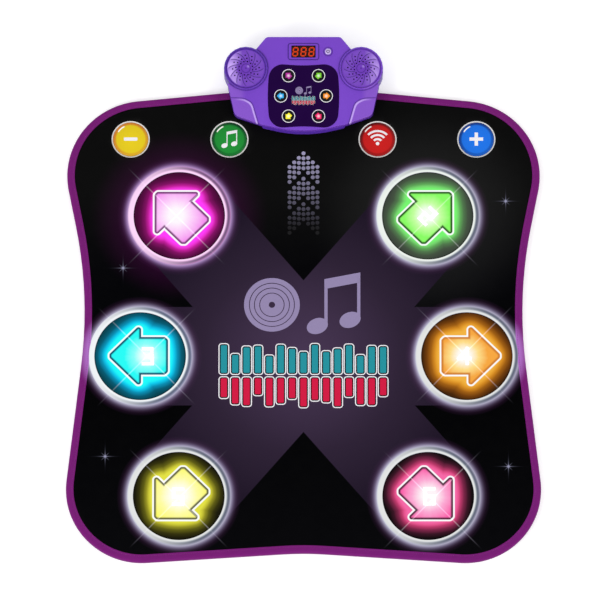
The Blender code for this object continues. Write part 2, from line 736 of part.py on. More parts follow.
def make_cover(shop):
    mesh = prism_mesh("console_cover", [console_outline()], -COVER_DEPTH, 0)
    round_rim(mesh, 0.0, COVER_ROUND)
    cover = shop.part("console_cover", mesh, "shell", parent=shop.face)
    hollow = prism_mesh("cover_hollow", [console_outline(SHELL_WALL)], -COVER_DEPTH - GAP, -SHELL_WALL)
    combine(cover, shop.tool("cover_hollow", hollow, shop.face), "DIFFERENCE")
    rim = POD_RADIUS - POD_RIM_STEP
    deep = -SHELL_WALL * 0.8
    rims = [circle(radius, FOAM_STEPS, c) for c in pods() for radius in (rim, rim - POD_RIM)]
    collars = (
        ("pod_rims", rims, POD_RIM_HEIGHT),
        ("power_collar", [circle(POWER_COLLAR, BUTTON_STEPS, (POWER_X, DISPLAY_Y))], POWER_COLLAR_HEIGHT),
        ("display_bezel", [rounded_rectangle(*BEZEL_SIZE, BEZEL_ROUND, (0, DISPLAY_Y))], BEZEL_HEIGHT),
    )
    for name, loops, height in collars:
        raised = prism_mesh(name, loops, deep, height)
        round_rim(raised, height, height * 0.3, 1)
        combine(cover, shop.tool(name, raised, shop.face), "UNION")
    openings = [
        rounded_rectangle(*DISPLAY_SIZE, DISPLAY_ROUND, (0, DISPLAY_Y)),
        circle(POWER_RADIUS + GAP, BUTTON_STEPS, (POWER_X, DISPLAY_Y)),
        *(circle(SPEAKER_OPENING, FOAM_STEPS, centre) for centre in pods()),
        *(circle(LIGHT_HOLE, SCREW_STEPS, spot) for spot in light_spots()),
    ]
    right_wing = rounded_polygon(WING_CORNERS[::-1])
    left_wing = rounded_polygon([(-x, y, r) for x, y, r in WING_CORNERS])
    cuts = (
        ("face_openings", openings, -SHELL_WALL * 2, POD_RIM_HEIGHT * 2),
        ("panel_recess", [panel_outline(-PANEL_CLEARANCE)], -PANEL_THICKNESS - GAP, POD_RIM_HEIGHT),
        ("right_wing", [right_wing], -WING_STEP, POD_RIM_HEIGHT),
        ("left_wing", [left_wing], -WING_STEP, POD_RIM_HEIGHT),
    )
    for name, loops, low, high in cuts:
        combine(cover, shop.tool(name, prism_mesh(name, loops, low, high), shop.face), "DIFFERENCE")
    for name, centres in (("front_bosses", FRONT_SCREWS), ("rear_bosses", REAR_SCREWS)):
        y = centres[0][1]
        loops = [circle(r, SCREW_STEPS, c) for c in centres for r in (BOSS_RADIUS, SHAFT_HOLE)]
        low = face_height(y, COVER_DEPTH) + POST_BREAK
        bosses = prism_mesh(name, loops, low, face_height(y, SHELL_WALL * 0.6))
        combine(cover, shop.tool(name, bosses), "UNION")


def seam_outline(inset=0.0):
    """The console's outline at the seam of its shells, seen from straight above."""
    across = math.cos(FACE_TILT)
    start = FACE_FRONT_Y + COVER_DEPTH * math.sin(FACE_TILT)
    return [(x, start + y * across) for x, y in console_outline(inset, lip=inset == 0.0)]


def make_base(shop):
    """The lower shell: a step lets its front lie over the mat, and its rear block stands behind it."""
    under, reach = -BEYOND, 2 * MAT_REAR
    high = face_height(max(y for x, y in seam_outline())) + BEYOND
    block = prism_mesh("console_base", [seam_outline()], FOOT_HEIGHT, high)
    base = shop.part("console_base", block, "shell")
    inside, floor = [seam_outline(SHELL_WALL)], FOOT_HEIGHT + SHELL_WALL
    hollow = shop.tool("base_hollow", prism_mesh("base_hollow", inside, floor, high + BEYOND))
    steps = ((hollow, "hollow_step", SHELL_WALL), (base, "base_step", 0.0))
    for target, name, wall in steps:
        y = STEP_Y + wall
        block = prism_mesh(name, [rectangle(reach, reach, (0, y - reach / 2))], under, UNDERSIDE + wall)
        combine(target, shop.tool(name, block), "DIFFERENCE")
    combine(base, hollow, "DIFFERENCE")
    floor_front, floor_rear = UNDERSIDE + SHELL_WALL * 0.5, FOOT_HEIGHT + SHELL_WALL * 0.5
    bay_x, bay_y = BAY_SIZE
    bay = [rectangle(bay_x + grow, bay_y + grow, (0, BAY_CENTRE_Y)) for grow in (2 * BAY_WALL, 0)]
    rows = (FRONT_SCREWS, REAR_SCREWS)
    posts = [[circle(POST_RADIUS, SCREW_STEPS, c) for c in row] for row in rows]
    tops = [face_height(y, COVER_DEPTH) - POST_BREAK - GAP for y in (FRONT_SCREW[1], REAR_SCREW[1])]
    feet = [rectangle(*FOOT_SIZE, (side * FOOT_X, BAY_CENTRE_Y)) for side in (-1, 1)]
    added = (
        ("front_posts", posts[0], floor_front, tops[0]),
        ("rear_posts", posts[1], floor_rear, tops[1]),
        ("bay_walls", bay, floor_rear, floor_rear + BAY_WALL_HEIGHT),
        ("base_feet", feet, 0.0, floor_rear),
    )
    for name, loops, low, top in added:
        combine(base, shop.tool(name, prism_mesh(name, loops, low, top)), "UNION")
    shafts = [circle(SHAFT_HOLE, SCREW_STEPS, c) for c in (*FRONT_SCREWS, *REAR_SCREWS)]
    heads = [circle(HEAD_HOLE, SCREW_STEPS, c) for c in REAR_SCREWS]
    door = [rectangle(bay_x, bay_y, (0, BAY_CENTRE_Y))]
    cuts = (
        ("shaft_holes", [*shafts, tail_hole()], under, high + BEYOND),
        ("head_holes", heads, under, REAR_HEAD_Z + SCREW_HEAD_HEIGHT + GAP),
        ("door_opening", door, under, FOOT_HEIGHT + 2 * SHELL_WALL),
    )
    for name, loops, low, top in cuts:
        combine(base, shop.tool(name, prism_mesh(name, loops, low, top)), "DIFFERENCE")
    seam = prism_mesh("seam_cut", [rectangle(reach, reach)], -COVER_DEPTH - GAP, high)
    combine(base, shop.tool("seam_cut", seam, shop.face), "DIFFERENCE")


def make_face_parts(shop):
    """What is seen on the console's face, each piece in the frame of that face."""
    face = shop.face
    panel = prism_mesh("panel_overlay", [panel_outline()], -PANEL_THICKNESS, 0)
    shop.part("panel_overlay", panel, "panel", parent=face)
    width, length = (size - 2 * GAP for size in DISPLAY_SIZE)
    pane = rounded_rectangle(width, length, DISPLAY_ROUND - GAP)
    window = prism_mesh("display_window", [pane], 0, DISPLAY_WINDOW)
    lowest = -SHELL_WALL
    shop.part("display_window", window, "display", (0, DISPLAY_Y, lowest), parent=face)
    module_width, module_length = (size - 4 * MM for size in DISPLAY_SIZE)
    module = prism_mesh("display_module", [rectangle(module_width, module_length)], -DISPLAY_MODULE, 0)
    shop.part("display_module", module, "digits", (0, DISPLAY_Y, lowest - GAP), parent=face)
    switch_top = SWITCH_HEIGHT - BOARD_DROP
    stem_low = switch_top + POWER_TRAVEL + GAP
    power = turned_mesh("power_button", [
        (0, POWER_PROUD), (POWER_RADIUS * 0.75, POWER_PROUD), (POWER_RADIUS, POWER_PROUD * 0.6),
        (POWER_RADIUS, -SHELL_WALL), (POWER_STEM, -SHELL_WALL), (POWER_STEM, stem_low), (0, stem_low),
    ], SCREW_STEPS * 2)
    shop.part("power_button", power, "chrome", (POWER_X, DISPLAY_Y, 0), parent=face)


def grille_holes(side):
    """Rows of small holes that curve out from the middle of a grille, mirrored on the other side."""
    holes = []
    for row in range(GRILLE_ROWS):
        for k, radius in enumerate(GRILLE_RINGS):
            angle = FULL_TURN * row / GRILLE_ROWS + GRILLE_START + GRILLE_SWEEP * k
            centre = (-side * radius * math.cos(angle), radius * math.sin(angle))
            holes.append(circle(GRILLE_HOLE, GRILLE_HOLE_STEPS, centre))
    return holes


def grille_mesh(shop, side):
    disc = prism_mesh("grille_blank", [circle(GRILLE_RADIUS, FOAM_STEPS)], GAP, GAP + GRILLE_THICKNESS)
    blank = shop.tool("grille_blank", disc)
    boss_top = GAP + GRILLE_THICKNESS + GRILLE_BOSS_HEIGHT
    boss_low = GAP + GRILLE_THICKNESS / 2
    boss = prism_mesh("grille_boss", [circle(GRILLE_BOSS, SCREW_STEPS)], boss_low, boss_top)
    combine(blank, shop.tool("grille_boss", boss), "UNION")
    holes = prism_mesh("grille_holes", grille_holes(side), -BEYOND, BEYOND)
    combine(blank, shop.tool("grille_holes", holes), "DIFFERENCE")
    graph = bpy.context.evaluated_depsgraph_get()
    return bpy.data.meshes.new_from_object(blank.evaluated_get(graph))


def make_speakers(shop):
    top = -SHELL_WALL - GAP
    flange = 1.4 * MM
    driver = turned_mesh("speaker_driver", [
        (0, top - SPEAKER_DEPTH * 0.5), (SPEAKER_CONE * 0.3, top - SPEAKER_DEPTH * 0.4),
        (SPEAKER_CONE, top), (SPEAKER_FLANGE, top), (SPEAKER_FLANGE, top - flange),
        (SPEAKER_CONE, top - flange), (MAGNET_RADIUS * 1.1, top - SPEAKER_DEPTH),
        (MAGNET_RADIUS, top - SPEAKER_DEPTH - MAGNET_DEPTH), (0, top - SPEAKER_DEPTH - MAGNET_DEPTH),
    ], FOAM_STEPS)
    for name, side, centre in zip(("left", "right"), (-1, 1), pods()):
        place = (*centre, 0)
        grille = grille_mesh(shop, side)
        shop.part(f"{name}_speaker_grille", grille, "grille", place, parent=shop.face)
        shop.part(f"{name}_speaker_driver", driver, "cone", place, parent=shop.face)


def make_board(shop):
    """The main board, with the tact switch under the power button and the tail's socket below."""
    face = shop.face
    top, low = -BOARD_DROP, -BOARD_DROP - BOARD_THICKNESS
    middle = (BOARD_FRONT + BOARD_REAR) / 2
    edge = rectangle(2 * BOARD_HALF, BOARD_REAR - BOARD_FRONT, (0, middle))
    board = shop.part("main_board", prism_mesh("main_board", [edge], low, top), "board", parent=face)
    body = rectangle(SWITCH_SIZE, SWITCH_SIZE, (POWER_X, DISPLAY_Y))
    switch = prism_mesh("tact_switch", [body], (low + top) / 2, top + SWITCH_HEIGHT)
    combine(board, shop.tool("tact_switch", switch, face), "UNION")
    plate_top = top + GAP + LIGHT_PLATE
    outer, inner = ([2 * half - band for half in LIGHT_PLATE_HALF] for band in (0.0, 2 * LIGHT_PLATE_BAND))
    frame = [rounded_rectangle(*size, 4 * MM, (0, PANEL_Y)) for size in (outer, inner)]
    plate = prism_mesh("light_guide", frame, top + GAP, plate_top)
    guide = shop.part("indicator_light_guide", plate, "clear", parent=face)
    loops = [circle(LIGHT_POST, SCREW_STEPS, spot) for spot in light_spots()]
    posts = prism_mesh("light_posts", loops, top + GAP + LIGHT_PLATE / 2, -PANEL_THICKNESS - 2 * GAP)
    combine(guide, shop.tool("light_posts", posts, face), "UNION")


def make_screws(shop):
    """Long screws: the front pair holds the clamp, the mat and both shells, the rear pair the shells."""
    ends = (("front", FRONT_SCREWS, FRONT_HEAD_Z), ("rear", REAR_SCREWS, REAR_HEAD_Z))
    for end, centres, head_z in ends:
        tip = face_height(centres[0][1], COVER_DEPTH) + SCREW_BITE
        profile = [
            (0, tip), (SCREW_RADIUS * 0.6, tip), (SCREW_RADIUS, tip - 2 * SCREW_RADIUS),
            (SCREW_RADIUS, head_z + SCREW_HEAD_HEIGHT), (SCREW_HEAD, head_z + SCREW_HEAD_HEIGHT),
            (SCREW_HEAD * 0.8, head_z), (0, head_z),
        ]
        for side, centre in zip(("left", "right"), centres):
            mesh = turned_mesh("screw", profile, SCREW_STEPS)
            shop.part(f"{end}_{side}_screw", mesh, "steel", (*centre, 0))


def make_clamp(shop):
    """The bar in the underside of the mat that the front screws pull up against the console."""
    low, high = 0.0, LEVELS["lower_foam"][1]
    clamp = shop.part("clamp_plate", prism_mesh("clamp_plate", [clamp_outline()], low, high), "dark")
    heads = [circle(HEAD_HOLE, SCREW_STEPS, centre) for centre in FRONT_SCREWS]
    cuts = (
        ("clamp_recess", heads, -BEYOND, FRONT_HEAD_Z + SCREW_HEAD_HEIGHT + GAP),
        ("clamp_shafts", shaft_holes(), -BEYOND, high + BEYOND),
    )
    for name, loops, bottom, top in cuts:
        combine(clamp, shop.tool(name, prism_mesh(name, loops, bottom, top)), "DIFFERENCE")


def make_tail(shop):
    """The flat printed tail that carries the contact film's tracks up to the main board."""
    low = FILM_TOP + GAP
    top = face_height(TAIL_Y, BOARD_DROP + BOARD_THICKNESS) - GAP
    mesh = prism_mesh("ribbon_tail", [rectangle(TAIL_WIDTH, TAIL_THICKNESS)], low, top)
    shop.part("ribbon_tail", mesh, "film", (0, TAIL_Y, 0))


def make_batteries(shop):
    length, (tip_radius, tip_length) = CELL_LENGTH, CELL_NIPPLE
    low = FOOT_HEIGHT + DOOR_THICKNESS + DOOR_TO_CELL
    profile = [
        (0, length / 2 + tip_length), (tip_radius, length / 2 + tip_length), (tip_radius, length / 2),
        (CELL_RADIUS, length / 2), (CELL_RADIUS, -length / 2), (0, -length / 2),
    ]
    mesh = turned_mesh("battery", profile, SCREW_STEPS * 2)
    first = BAY_CENTRE_Y - CELL_PITCH * (CELL_COUNT - 1) / 2
    for i in range(CELL_COUNT):
        place = (0, first + CELL_PITCH * i, low + CELL_RADIUS)
        cell = shop.part(f"battery_{i + 1}", mesh, "cell", place)
        cell.rotation_euler.y = math.pi / 2 * (-1) ** i
    plate_x = BAY_SIZE[0] / 2 - GAP - CONTACT_PLATE / 2
    width = CELL_PITCH * CELL_COUNT - 2 * MM
    plate = prism_mesh("contact", [rectangle(CONTACT_PLATE, width)], low, low + CELL_RADIUS * 1.6)
    for side, x in (("left", -plate_x), ("right", plate_x)):
        shop.part(f"{side}_battery_contact", plate, "steel", (x, BAY_CENTRE_Y, 0))


def make_door(shop):
    """The battery door. Its origin is on the hinge line near its front edge."""
    width, length = (size - 2 * DOOR_CLEARANCE for size in BAY_SIZE)
    middle = length / 2 - DOOR_HINGE_INSET
    mesh = prism_mesh("battery_door", [rectangle(width, length, (0, middle))],
                      -DOOR_THICKNESS / 2, DOOR_THICKNESS / 2)
    hinge_y = BAY_CENTRE_Y - middle
    shop.part("battery_door", mesh, "shell", (0, hinge_y, FOOT_HEIGHT + DOOR_THICKNESS / 2))


def shade_parts(shop):
    """Smooth shading for the plain pieces. One that is still cut or joined stays flat."""
    plain = {obj.data for obj in shop.parts.objects if obj.type == "MESH" and not obj.modifiers}
    for mesh in plain:
        mesh.shade_smooth()
        mesh.set_sharp_from_angle(angle=math.radians(32))


def main():
    clear_scene()
    shop = Workshop()
    make_layers(shop)
    make_binding(shop)
    make_pads(shop)
    make_buttons(shop)
    make_cover(shop)
    make_base(shop)
    make_face_parts(shop)
    make_speakers(shop)
    make_board(shop)
    make_screws(shop)
    make_clamp(shop)
    make_tail(shop)
    make_batteries(shop)
    make_door(shop)
    shade_parts(shop)


main()
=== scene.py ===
"""The looks of the electronic dance mat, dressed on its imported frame.

Metres, +Z up, in the frame's own coordinates. Printed patterns are worked out in the shaders from a piece's
own coordinates in millimetres, so they stay on it from every side.
"""

import json
import math
from functools import partialmethod, reduce

import bmesh
import bpy
from mathutils import Matrix, Vector, geometry, kdtree

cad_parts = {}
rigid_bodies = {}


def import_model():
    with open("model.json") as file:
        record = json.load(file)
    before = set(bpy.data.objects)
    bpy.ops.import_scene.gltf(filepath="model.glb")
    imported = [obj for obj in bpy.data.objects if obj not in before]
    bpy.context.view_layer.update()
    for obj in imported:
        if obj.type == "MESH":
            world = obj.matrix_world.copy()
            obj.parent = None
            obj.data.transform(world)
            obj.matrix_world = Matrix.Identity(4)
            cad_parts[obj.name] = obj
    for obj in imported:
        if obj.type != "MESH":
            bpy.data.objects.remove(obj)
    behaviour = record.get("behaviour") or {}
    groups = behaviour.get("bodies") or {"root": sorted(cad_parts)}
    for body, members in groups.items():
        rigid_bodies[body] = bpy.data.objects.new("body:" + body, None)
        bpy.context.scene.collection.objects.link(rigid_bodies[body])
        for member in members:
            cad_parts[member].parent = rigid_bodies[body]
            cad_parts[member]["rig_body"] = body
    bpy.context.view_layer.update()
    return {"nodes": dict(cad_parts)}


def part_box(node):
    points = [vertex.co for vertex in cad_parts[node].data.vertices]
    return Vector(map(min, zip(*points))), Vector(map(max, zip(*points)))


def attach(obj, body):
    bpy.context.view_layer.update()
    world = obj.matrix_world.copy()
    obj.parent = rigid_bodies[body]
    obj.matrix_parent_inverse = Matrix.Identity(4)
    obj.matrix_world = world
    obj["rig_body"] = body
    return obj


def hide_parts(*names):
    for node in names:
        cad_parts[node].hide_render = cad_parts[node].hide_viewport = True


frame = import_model()
nodes = frame["nodes"]

MM = 0.001
FULL_TURN = 2 * math.pi
ROUND_STEPS = 96

# Mat outline, right half, as sharp corners with their rounding: x, y, radius
MAT_CORNERS = (
    (0.0, -447.5 * MM, 600 * MM),
    (470.0 * MM, -478.0 * MM, 144 * MM),
    (405.7 * MM, 58.9 * MM, 890 * MM),
    (478.9 * MM, 428.8 * MM, 148.8 * MM),
    (0.0, 475.7 * MM, 1600 * MM),
)
SHEET_INSET = 3.6 * MM
TAPE_INSET = 14.3 * MM
SEAM_INSET = 11.2 * MM
GRIP_INSET = 12.3 * MM
TAIL_SLOT = (27 * MM, 3 * MM)
MAT_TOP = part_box("top_sheet")[1].z
BINDING_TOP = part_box("edge_binding")[1].z
CLOTH = 0.8 * MM

# Pads: number, direction of the arrow in degrees, how far the arrow sits along it
PADS = ((1, 135, 0.0), (2, 45, 0.0), (3, 180, -4.5 * MM), (4, 0, 0.0), (5, 225, 0.0), (6, 315, 0.0))
WINDOW_RADIUS = 86.4 * MM
WINDOW_HOLE = 87.0 * MM
RING_OUTER = 98.0 * MM
ARROW_CORNERS = (
    (71.2 * MM, 0, 12 * MM),
    (-0.7 * MM, 71.9 * MM, 8.4 * MM),
    (-0.7 * MM, 40.6 * MM, 2.5 * MM),
    (-51.8 * MM, 40.6 * MM, 13 * MM),
    (-51.8 * MM, -40.6 * MM, 13 * MM),
    (-0.7 * MM, -40.6 * MM, 2.5 * MM),
    (-0.7 * MM, -71.9 * MM, 8.4 * MM),
)
# The width of the arrow's white outline, and of the line of painted shade inside it
ARROW_RIM = 3.3 * MM
ARROW_SHADE_LINE = 4.0 * MM

# Round buttons: the radius of a cap, of its hole in the cover and of the ring printed round it
BUTTON_RADIUS = 33.3 * MM
BUTTON_HOLE = 33.9 * MM
BUTTON_PRINT = 36.2 * MM

# Heights of the pads' windows and the round buttons' caps: their lower and their upper faces
SEAT, CROWN = MAT_TOP - 0.2 * MM, MAT_TOP + 2.0 * MM

# Console face: its own frame, and what lies on it
FACE_FRONT = (0, 383.1 * MM, 33.0 * MM)
FACE = Matrix.Translation(FACE_FRONT) @ Matrix.Rotation(math.radians(8), 4, "X")
POD_X, POD_Y = 109.7 * MM, 116.4 * MM
PODS = ((-POD_X, POD_Y), (POD_X, POD_Y))
PANEL_Y = 63.4 * MM
GRILLE_ROWS = 12
GRILLE_TWIST = math.radians(1.35)
GRILLE_PHASE = math.radians(1.0)
DISPLAY = (0.0, 148.9 * MM)
POWER = (46.8 * MM, 148.9 * MM)
DIGIT_SIZE = (11.2 * MM, 18.2 * MM)
DIGIT_PITCH = 15.3 * MM
INDICATORS = (
    (1, -28.6 * MM, 39.0 * MM),
    (2, 28.6 * MM, 39.0 * MM),
    (3, -43.2 * MM, 0.0),
    (4, 43.2 * MM, 0.0),
    (5, -28.6 * MM, -39.0 * MM),
    (6, 28.6 * MM, -39.0 * MM),
)

# Where the console's front screws pass through the cover
SCREW_X, SCREW_Y = 82 * MM, 429 * MM
SCREW_HOLE = 2.1 * MM

# Thickness of a layer of print
INK = 0.06 * MM


# Plane outlines

def circle(radius, centre=(0.0, 0.0), steps=ROUND_STEPS):
    turns = (FULL_TURN * i / steps for i in range(steps))
    return [(centre[0] + radius * math.cos(a), centre[1] + radius * math.sin(a)) for a in turns]


def symmetric(half):
    """The whole counter-clockwise outline from its right half, which starts at the front."""
    return [*half, *((-x, y, r) for x, y, r in reversed(half) if x > 0)]


def left_of(direction):
    return Vector((-direction.y, direction.x))


def sides_at(corners, i):
    """A corner's place, and the directions of the sides before and after it."""
    before, here, after = (Vector(corners[k % len(corners)][:2]) for k in (i - 1, i, i + 1))
    return here, (here - before).normalized(), (after - here).normalized()


def inset_corners(corners, inset):
    """The same sharp corners with every side moved inwards, and each rounding changed to stay parallel."""
    moved = []
    for i, (_, _, radius) in enumerate(corners):
        here, came, goes = sides_at(corners, i)
        inward = left_of(came) + left_of(goes)
        here = here + inward * inset / (1 + left_of(came).dot(left_of(goes)))
        bulges = came.cross(goes) > 0
        moved.append((*here, max(radius - inset if bulges else radius + inset, 0.2 * MM)))
    return moved


def rounded_polygon(corners, step, inset=0.0):
    """Points along a polygon of (x, y, radius) corners, counter-clockwise, with each corner an arc."""
    corners = inset_corners(corners, inset)
    points = []
    for i, (_, _, radius) in enumerate(corners):
        here, came, goes = sides_at(corners, i)
        turn = math.atan2(came.cross(goes), came.dot(goes))
        side = left_of(came) * math.copysign(radius, turn)
        middle = here - came * radius * math.tan(abs(turn) / 2) + side
        steps = max(2, math.ceil(abs(turn) / step))
        for k in range(steps + 1):
            c, s = math.cos(turn * k / steps), math.sin(turn * k / steps)
            points.append(tuple(middle + Vector((side.y * s - side.x * c, -side.x * s - side.y * c))))
    return points


def rounded_box(width, length, radius, centre=(0.0, 0.0)):
    signs = ((-1, -1), (1, -1), (1, 1), (-1, 1))
    corners = [(centre[0] + i * width / 2, centre[1] + j * length / 2, radius) for i, j in signs]
    return rounded_polygon(corners, math.radians(15))


def spaced(loop, step):
    """The same closed line with points a step apart, each with its inward direction."""
    corners = [Vector(p) for p in loop]
    corners.append(corners[0])
    lengths = [(b - a).length for a, b in zip(corners, corners[1:])]
    count = round(sum(lengths) / step)
    stride = sum(lengths) / count
    points, i, done = [], 0, 0.0
    for k in range(count):
        while done + lengths[i] < k * stride:
            done += lengths[i]
            i += 1
        points.append(corners[i].lerp(corners[i + 1], (k * stride - done) / lengths[i]))
    inward = [left_of(points[(k + 1) % count] - points[k - 1]).normalized() for k in range(count)]
    return list(zip(points, inward))


def limits(loop):
    """A loop's least and greatest x, and its least and greatest y."""
    xs, ys = zip(*loop)
    return min(xs), max(xs), min(ys), max(ys)


def turned(points, degrees, centre=(0.0, 0.0)):
    c, s = math.cos(math.radians(degrees)), math.sin(math.radians(degrees))
    return [(centre[0] + x * c - y * s, centre[1] + x * s + y * c) for x, y in points]


def placed(loops, scale=1.0, shift=(0.0, 0.0)):
    """The same loops, scaled about the origin and then shifted."""
    return [[(shift[0] + x * scale, shift[1] + y * scale) for x, y in loop] for loop in loops]


def arrow_loop(degrees, scale=1.0, centre=(0.0, 0.0)):
    corners = [(x * scale, y * scale, r * scale) for x, y, r in ARROW_CORNERS]
    return turned(rounded_polygon(corners, math.radians(10)), degrees, centre)


# Meshes

def added(name, data):
    """A new object in the scene."""
    thing = bpy.data.objects.new(name, data)
    bpy.context.scene.collection.objects.link(thing)
    return thing


def new_piece(name, mesh, body, material, place=None, replaces=()):
    """A piece of the object that rides on a body. place is its location, or its whole matrix."""
    piece = added(name, mesh)
    if isinstance(place, Matrix):
        piece.matrix_world = place
    elif place is not None:
        piece.location = place
    mesh.materials.append(material)
    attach(piece, body)
    if replaces:
        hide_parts(*replaces)
    return piece


def smooth(mesh, angle=32):
    mesh.shade_smooth()
    mesh.set_sharp_from_angle(angle=math.radians(angle))
    return mesh


def opened(*meshes):
    """All the meshes together, to edit."""
    body = bmesh.new()
    for mesh in meshes:
        body.from_mesh(mesh)
    return body


def closed(body, mesh):
    """The mesh, once the edited shape is written into it."""
    body.to_mesh(mesh)
    body.free()
    return mesh


def joined(name, meshes):
    return closed(opened(*meshes), bpy.data.meshes.new(name))


def skinned(name, forms):
    """One mesh of closed forms, each skinned over its rings of points in turn and capped at both ends."""
    body = bmesh.new()
    for form in forms:
        rings = [[body.verts.new(point) for point in ring] for ring in form]
        for one, two in zip(rings, rings[1:]):
            for k in range(len(one)):
                body.faces.new((one[k - 1], one[k], two[k], two[k - 1]))
        body.faces.new(rings[0])
        body.faces.new(rings[-1])
    bmesh.ops.recalc_face_normals(body, faces=body.faces)
    return smooth(closed(body, bpy.data.meshes.new(name)), 60)


def prism(name, loops, low, high, rim=0.0):
    """A flat outline with holes, as thick as from low to high, with its upper edges rounded by rim."""
    curve = bpy.data.curves.new(name, "CURVE")
    curve.dimensions = "2D"
    curve.fill_mode = "BOTH"
    curve.extrude = (high - low) / 2
    for loop in loops:
        spline = curve.splines.new("POLY")
        spline.points.add(len(loop) - 1)
        spline.points.foreach_set("co", [c for x, y in loop for c in (x, y, 0, 1)])
        spline.use_cyclic_u = True
    holder = added(name, curve)
    graph = bpy.context.evaluated_depsgraph_get()
    mesh = bpy.data.meshes.new_from_object(holder.evaluated_get(graph))
    bpy.data.objects.remove(holder)
    body = opened(mesh)
    bmesh.ops.remove_doubles(body, verts=body.verts, dist=0.002 * MM)
    bmesh.ops.translate(body, verts=body.verts, vec=(0, 0, (low + high) / 2))
    bmesh.ops.recalc_face_normals(body, faces=body.faces)
    bmesh.ops.dissolve_limit(body, angle_limit=math.radians(0.1), verts=body.verts, edges=body.edges)
    if rim:
        upper = [
            e for e in body.edges
            if all(abs(v.co.z - high) < 0.001 * MM for v in e.verts) and e.calc_face_angle(0.0) > 1.0
        ]
        bmesh.ops.bevel(body, geom=upper, offset=rim, segments=3, affect="EDGES", profile=0.5)
    return smooth(closed(body, mesh))


def lathe(name, profile, steps=ROUND_STEPS):
    """(radius, height) points, down the outer side, turned about Z: closed, or from axis to axis."""
    verts, rings = [], []
    for radius, height in profile:
        if radius == 0:
            rings.append([len(verts)] * steps)
            verts.append((0, 0, height))
        else:
            rings.append(range(len(verts), len(verts) + steps))
            verts.extend((*p, height) for p in circle(radius, steps=steps))
    pairs = list(zip(rings, rings[1:]))
    if profile[0][0] > 0:
        pairs.append((rings[-1], rings[0]))
    faces = []
    for upper, lower in pairs:
        for k in range(steps):
            corners = [upper[k], lower[k], lower[(k + 1) % steps], upper[(k + 1) % steps]]
            faces.append(list(dict.fromkeys(corners)))
    mesh = bpy.data.meshes.new(name)
    mesh.from_pydata(verts, [], faces)
    return smooth(mesh)


def swept(name, profile, path, lift):
    """A closed section of (inset, height) points, carried along a closed path of (point, inward) places."""
    verts = []
    for inset, height in profile:
        for k, (point, inward) in enumerate(path):
            verts.append((*(point + inward * inset), height + lift(k, inset, height)))
    count, faces = len(path), []
    for side in range(len(profile)):
        here, there = side * count, (side + 1) % len(profile) * count
        for k in range(count):
            after = (k + 1) % count
            faces.append((here + k, here + after, there + after, there + k))
    mesh = bpy.data.meshes.new(name)
    mesh.from_pydata(verts, [], faces)
    return smooth(mesh, 60)


def inside_loop(x, y, loop):
    inside = False
    for (ax, ay), (bx, by) in zip(loop, [*loop[1:], loop[0]]):
        if (ay > y) != (by > y) and x < ax + (y - ay) * (bx - ax) / (by - ay):
            inside = not inside
    return inside


def search_tree(points):
    """Finds the nearest of some plane points."""
    tree = kdtree.KDTree(len(points))
    for i, point in enumerate(points):
        tree.insert((*point, 0), i)
    tree.balance()
    return tree


def sheet_mesh(name, outline, holes, spacing, height):
    """One layer of cloth with holes, its points a spacing apart and height(distance to the edge) high."""
    verts, edges = [], []
    for loop in (outline, *holes):
        first = len(verts)
        verts.extend(Vector(p) for p in loop)
        edges.extend((first + i, first + (i + 1) % len(loop)) for i in range(len(loop)))
    rims, border = search_tree(verts), search_tree(outline)
    _, right, _, back = limits(outline)
    rows, columns = math.ceil(back / spacing), math.ceil(right / spacing)
    for j in range(-rows, rows + 1):
        for i in range(-columns, columns + 1):
            x, y = (i + 0.5 * (j % 2)) * spacing, j * spacing
            if rims.find((x, y, 0))[2] > spacing * 0.6 and inside_loop(x, y, outline):
                verts.append(Vector((x, y)))
    points, _, faces, *_ = geometry.delaunay_2d_cdt(verts, edges, [], 1, 0.01 * MM)
    boxes = [(loop, *limits(loop)) for loop in holes]
    kept = []
    for face in faces:
        x, y = (sum(points[i][a] for i in face) / len(face) for a in (0, 1))
        if not any(x0 < x < x1 and y0 < y < y1 and inside_loop(x, y, loop) for loop, x0, x1, y0, y1 in boxes):
            kept.append(face)
    mesh = bpy.data.meshes.new(name)
    mesh.from_pydata([(x, y, height(border.find((x, y, 0))[2])) for x, y in points], [], kept)
    body = opened(mesh)
    bmesh.ops.delete(body, geom=[v for v in body.verts if not v.link_faces], context="VERTS")
    for face in body.faces:
        if face.normal.z < 0:
            face.normal_flip()
    closed(body, mesh).shade_smooth()
    return mesh


def welded(piece):
    piece.modifiers.new("weld", "WELD").merge_threshold = 0.001 * MM


def thickened(piece, thick):
    """Gives a single layer its thickness, half of it to each side."""
    solid = piece.modifiers.new("cloth", "SOLIDIFY")
    solid.thickness, solid.offset = thick, 0.0


def finer(node, name, material, rim=0.5 * MM):
    """A softened copy of a foam node that stands for it."""
    mesh = nodes[node].data.copy()
    mesh.materials.clear()
    piece = new_piece(name, mesh, nodes[node]["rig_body"], material, replaces=(node,))
    welded(piece)
    bevel = piece.modifiers.new("soft edges", "BEVEL")
    bevel.width = rim
    bevel.segments = 2
    bevel.limit_method = "ANGLE"
    bevel.angle_limit = math.radians(50)
    return piece


# Shader arithmetic

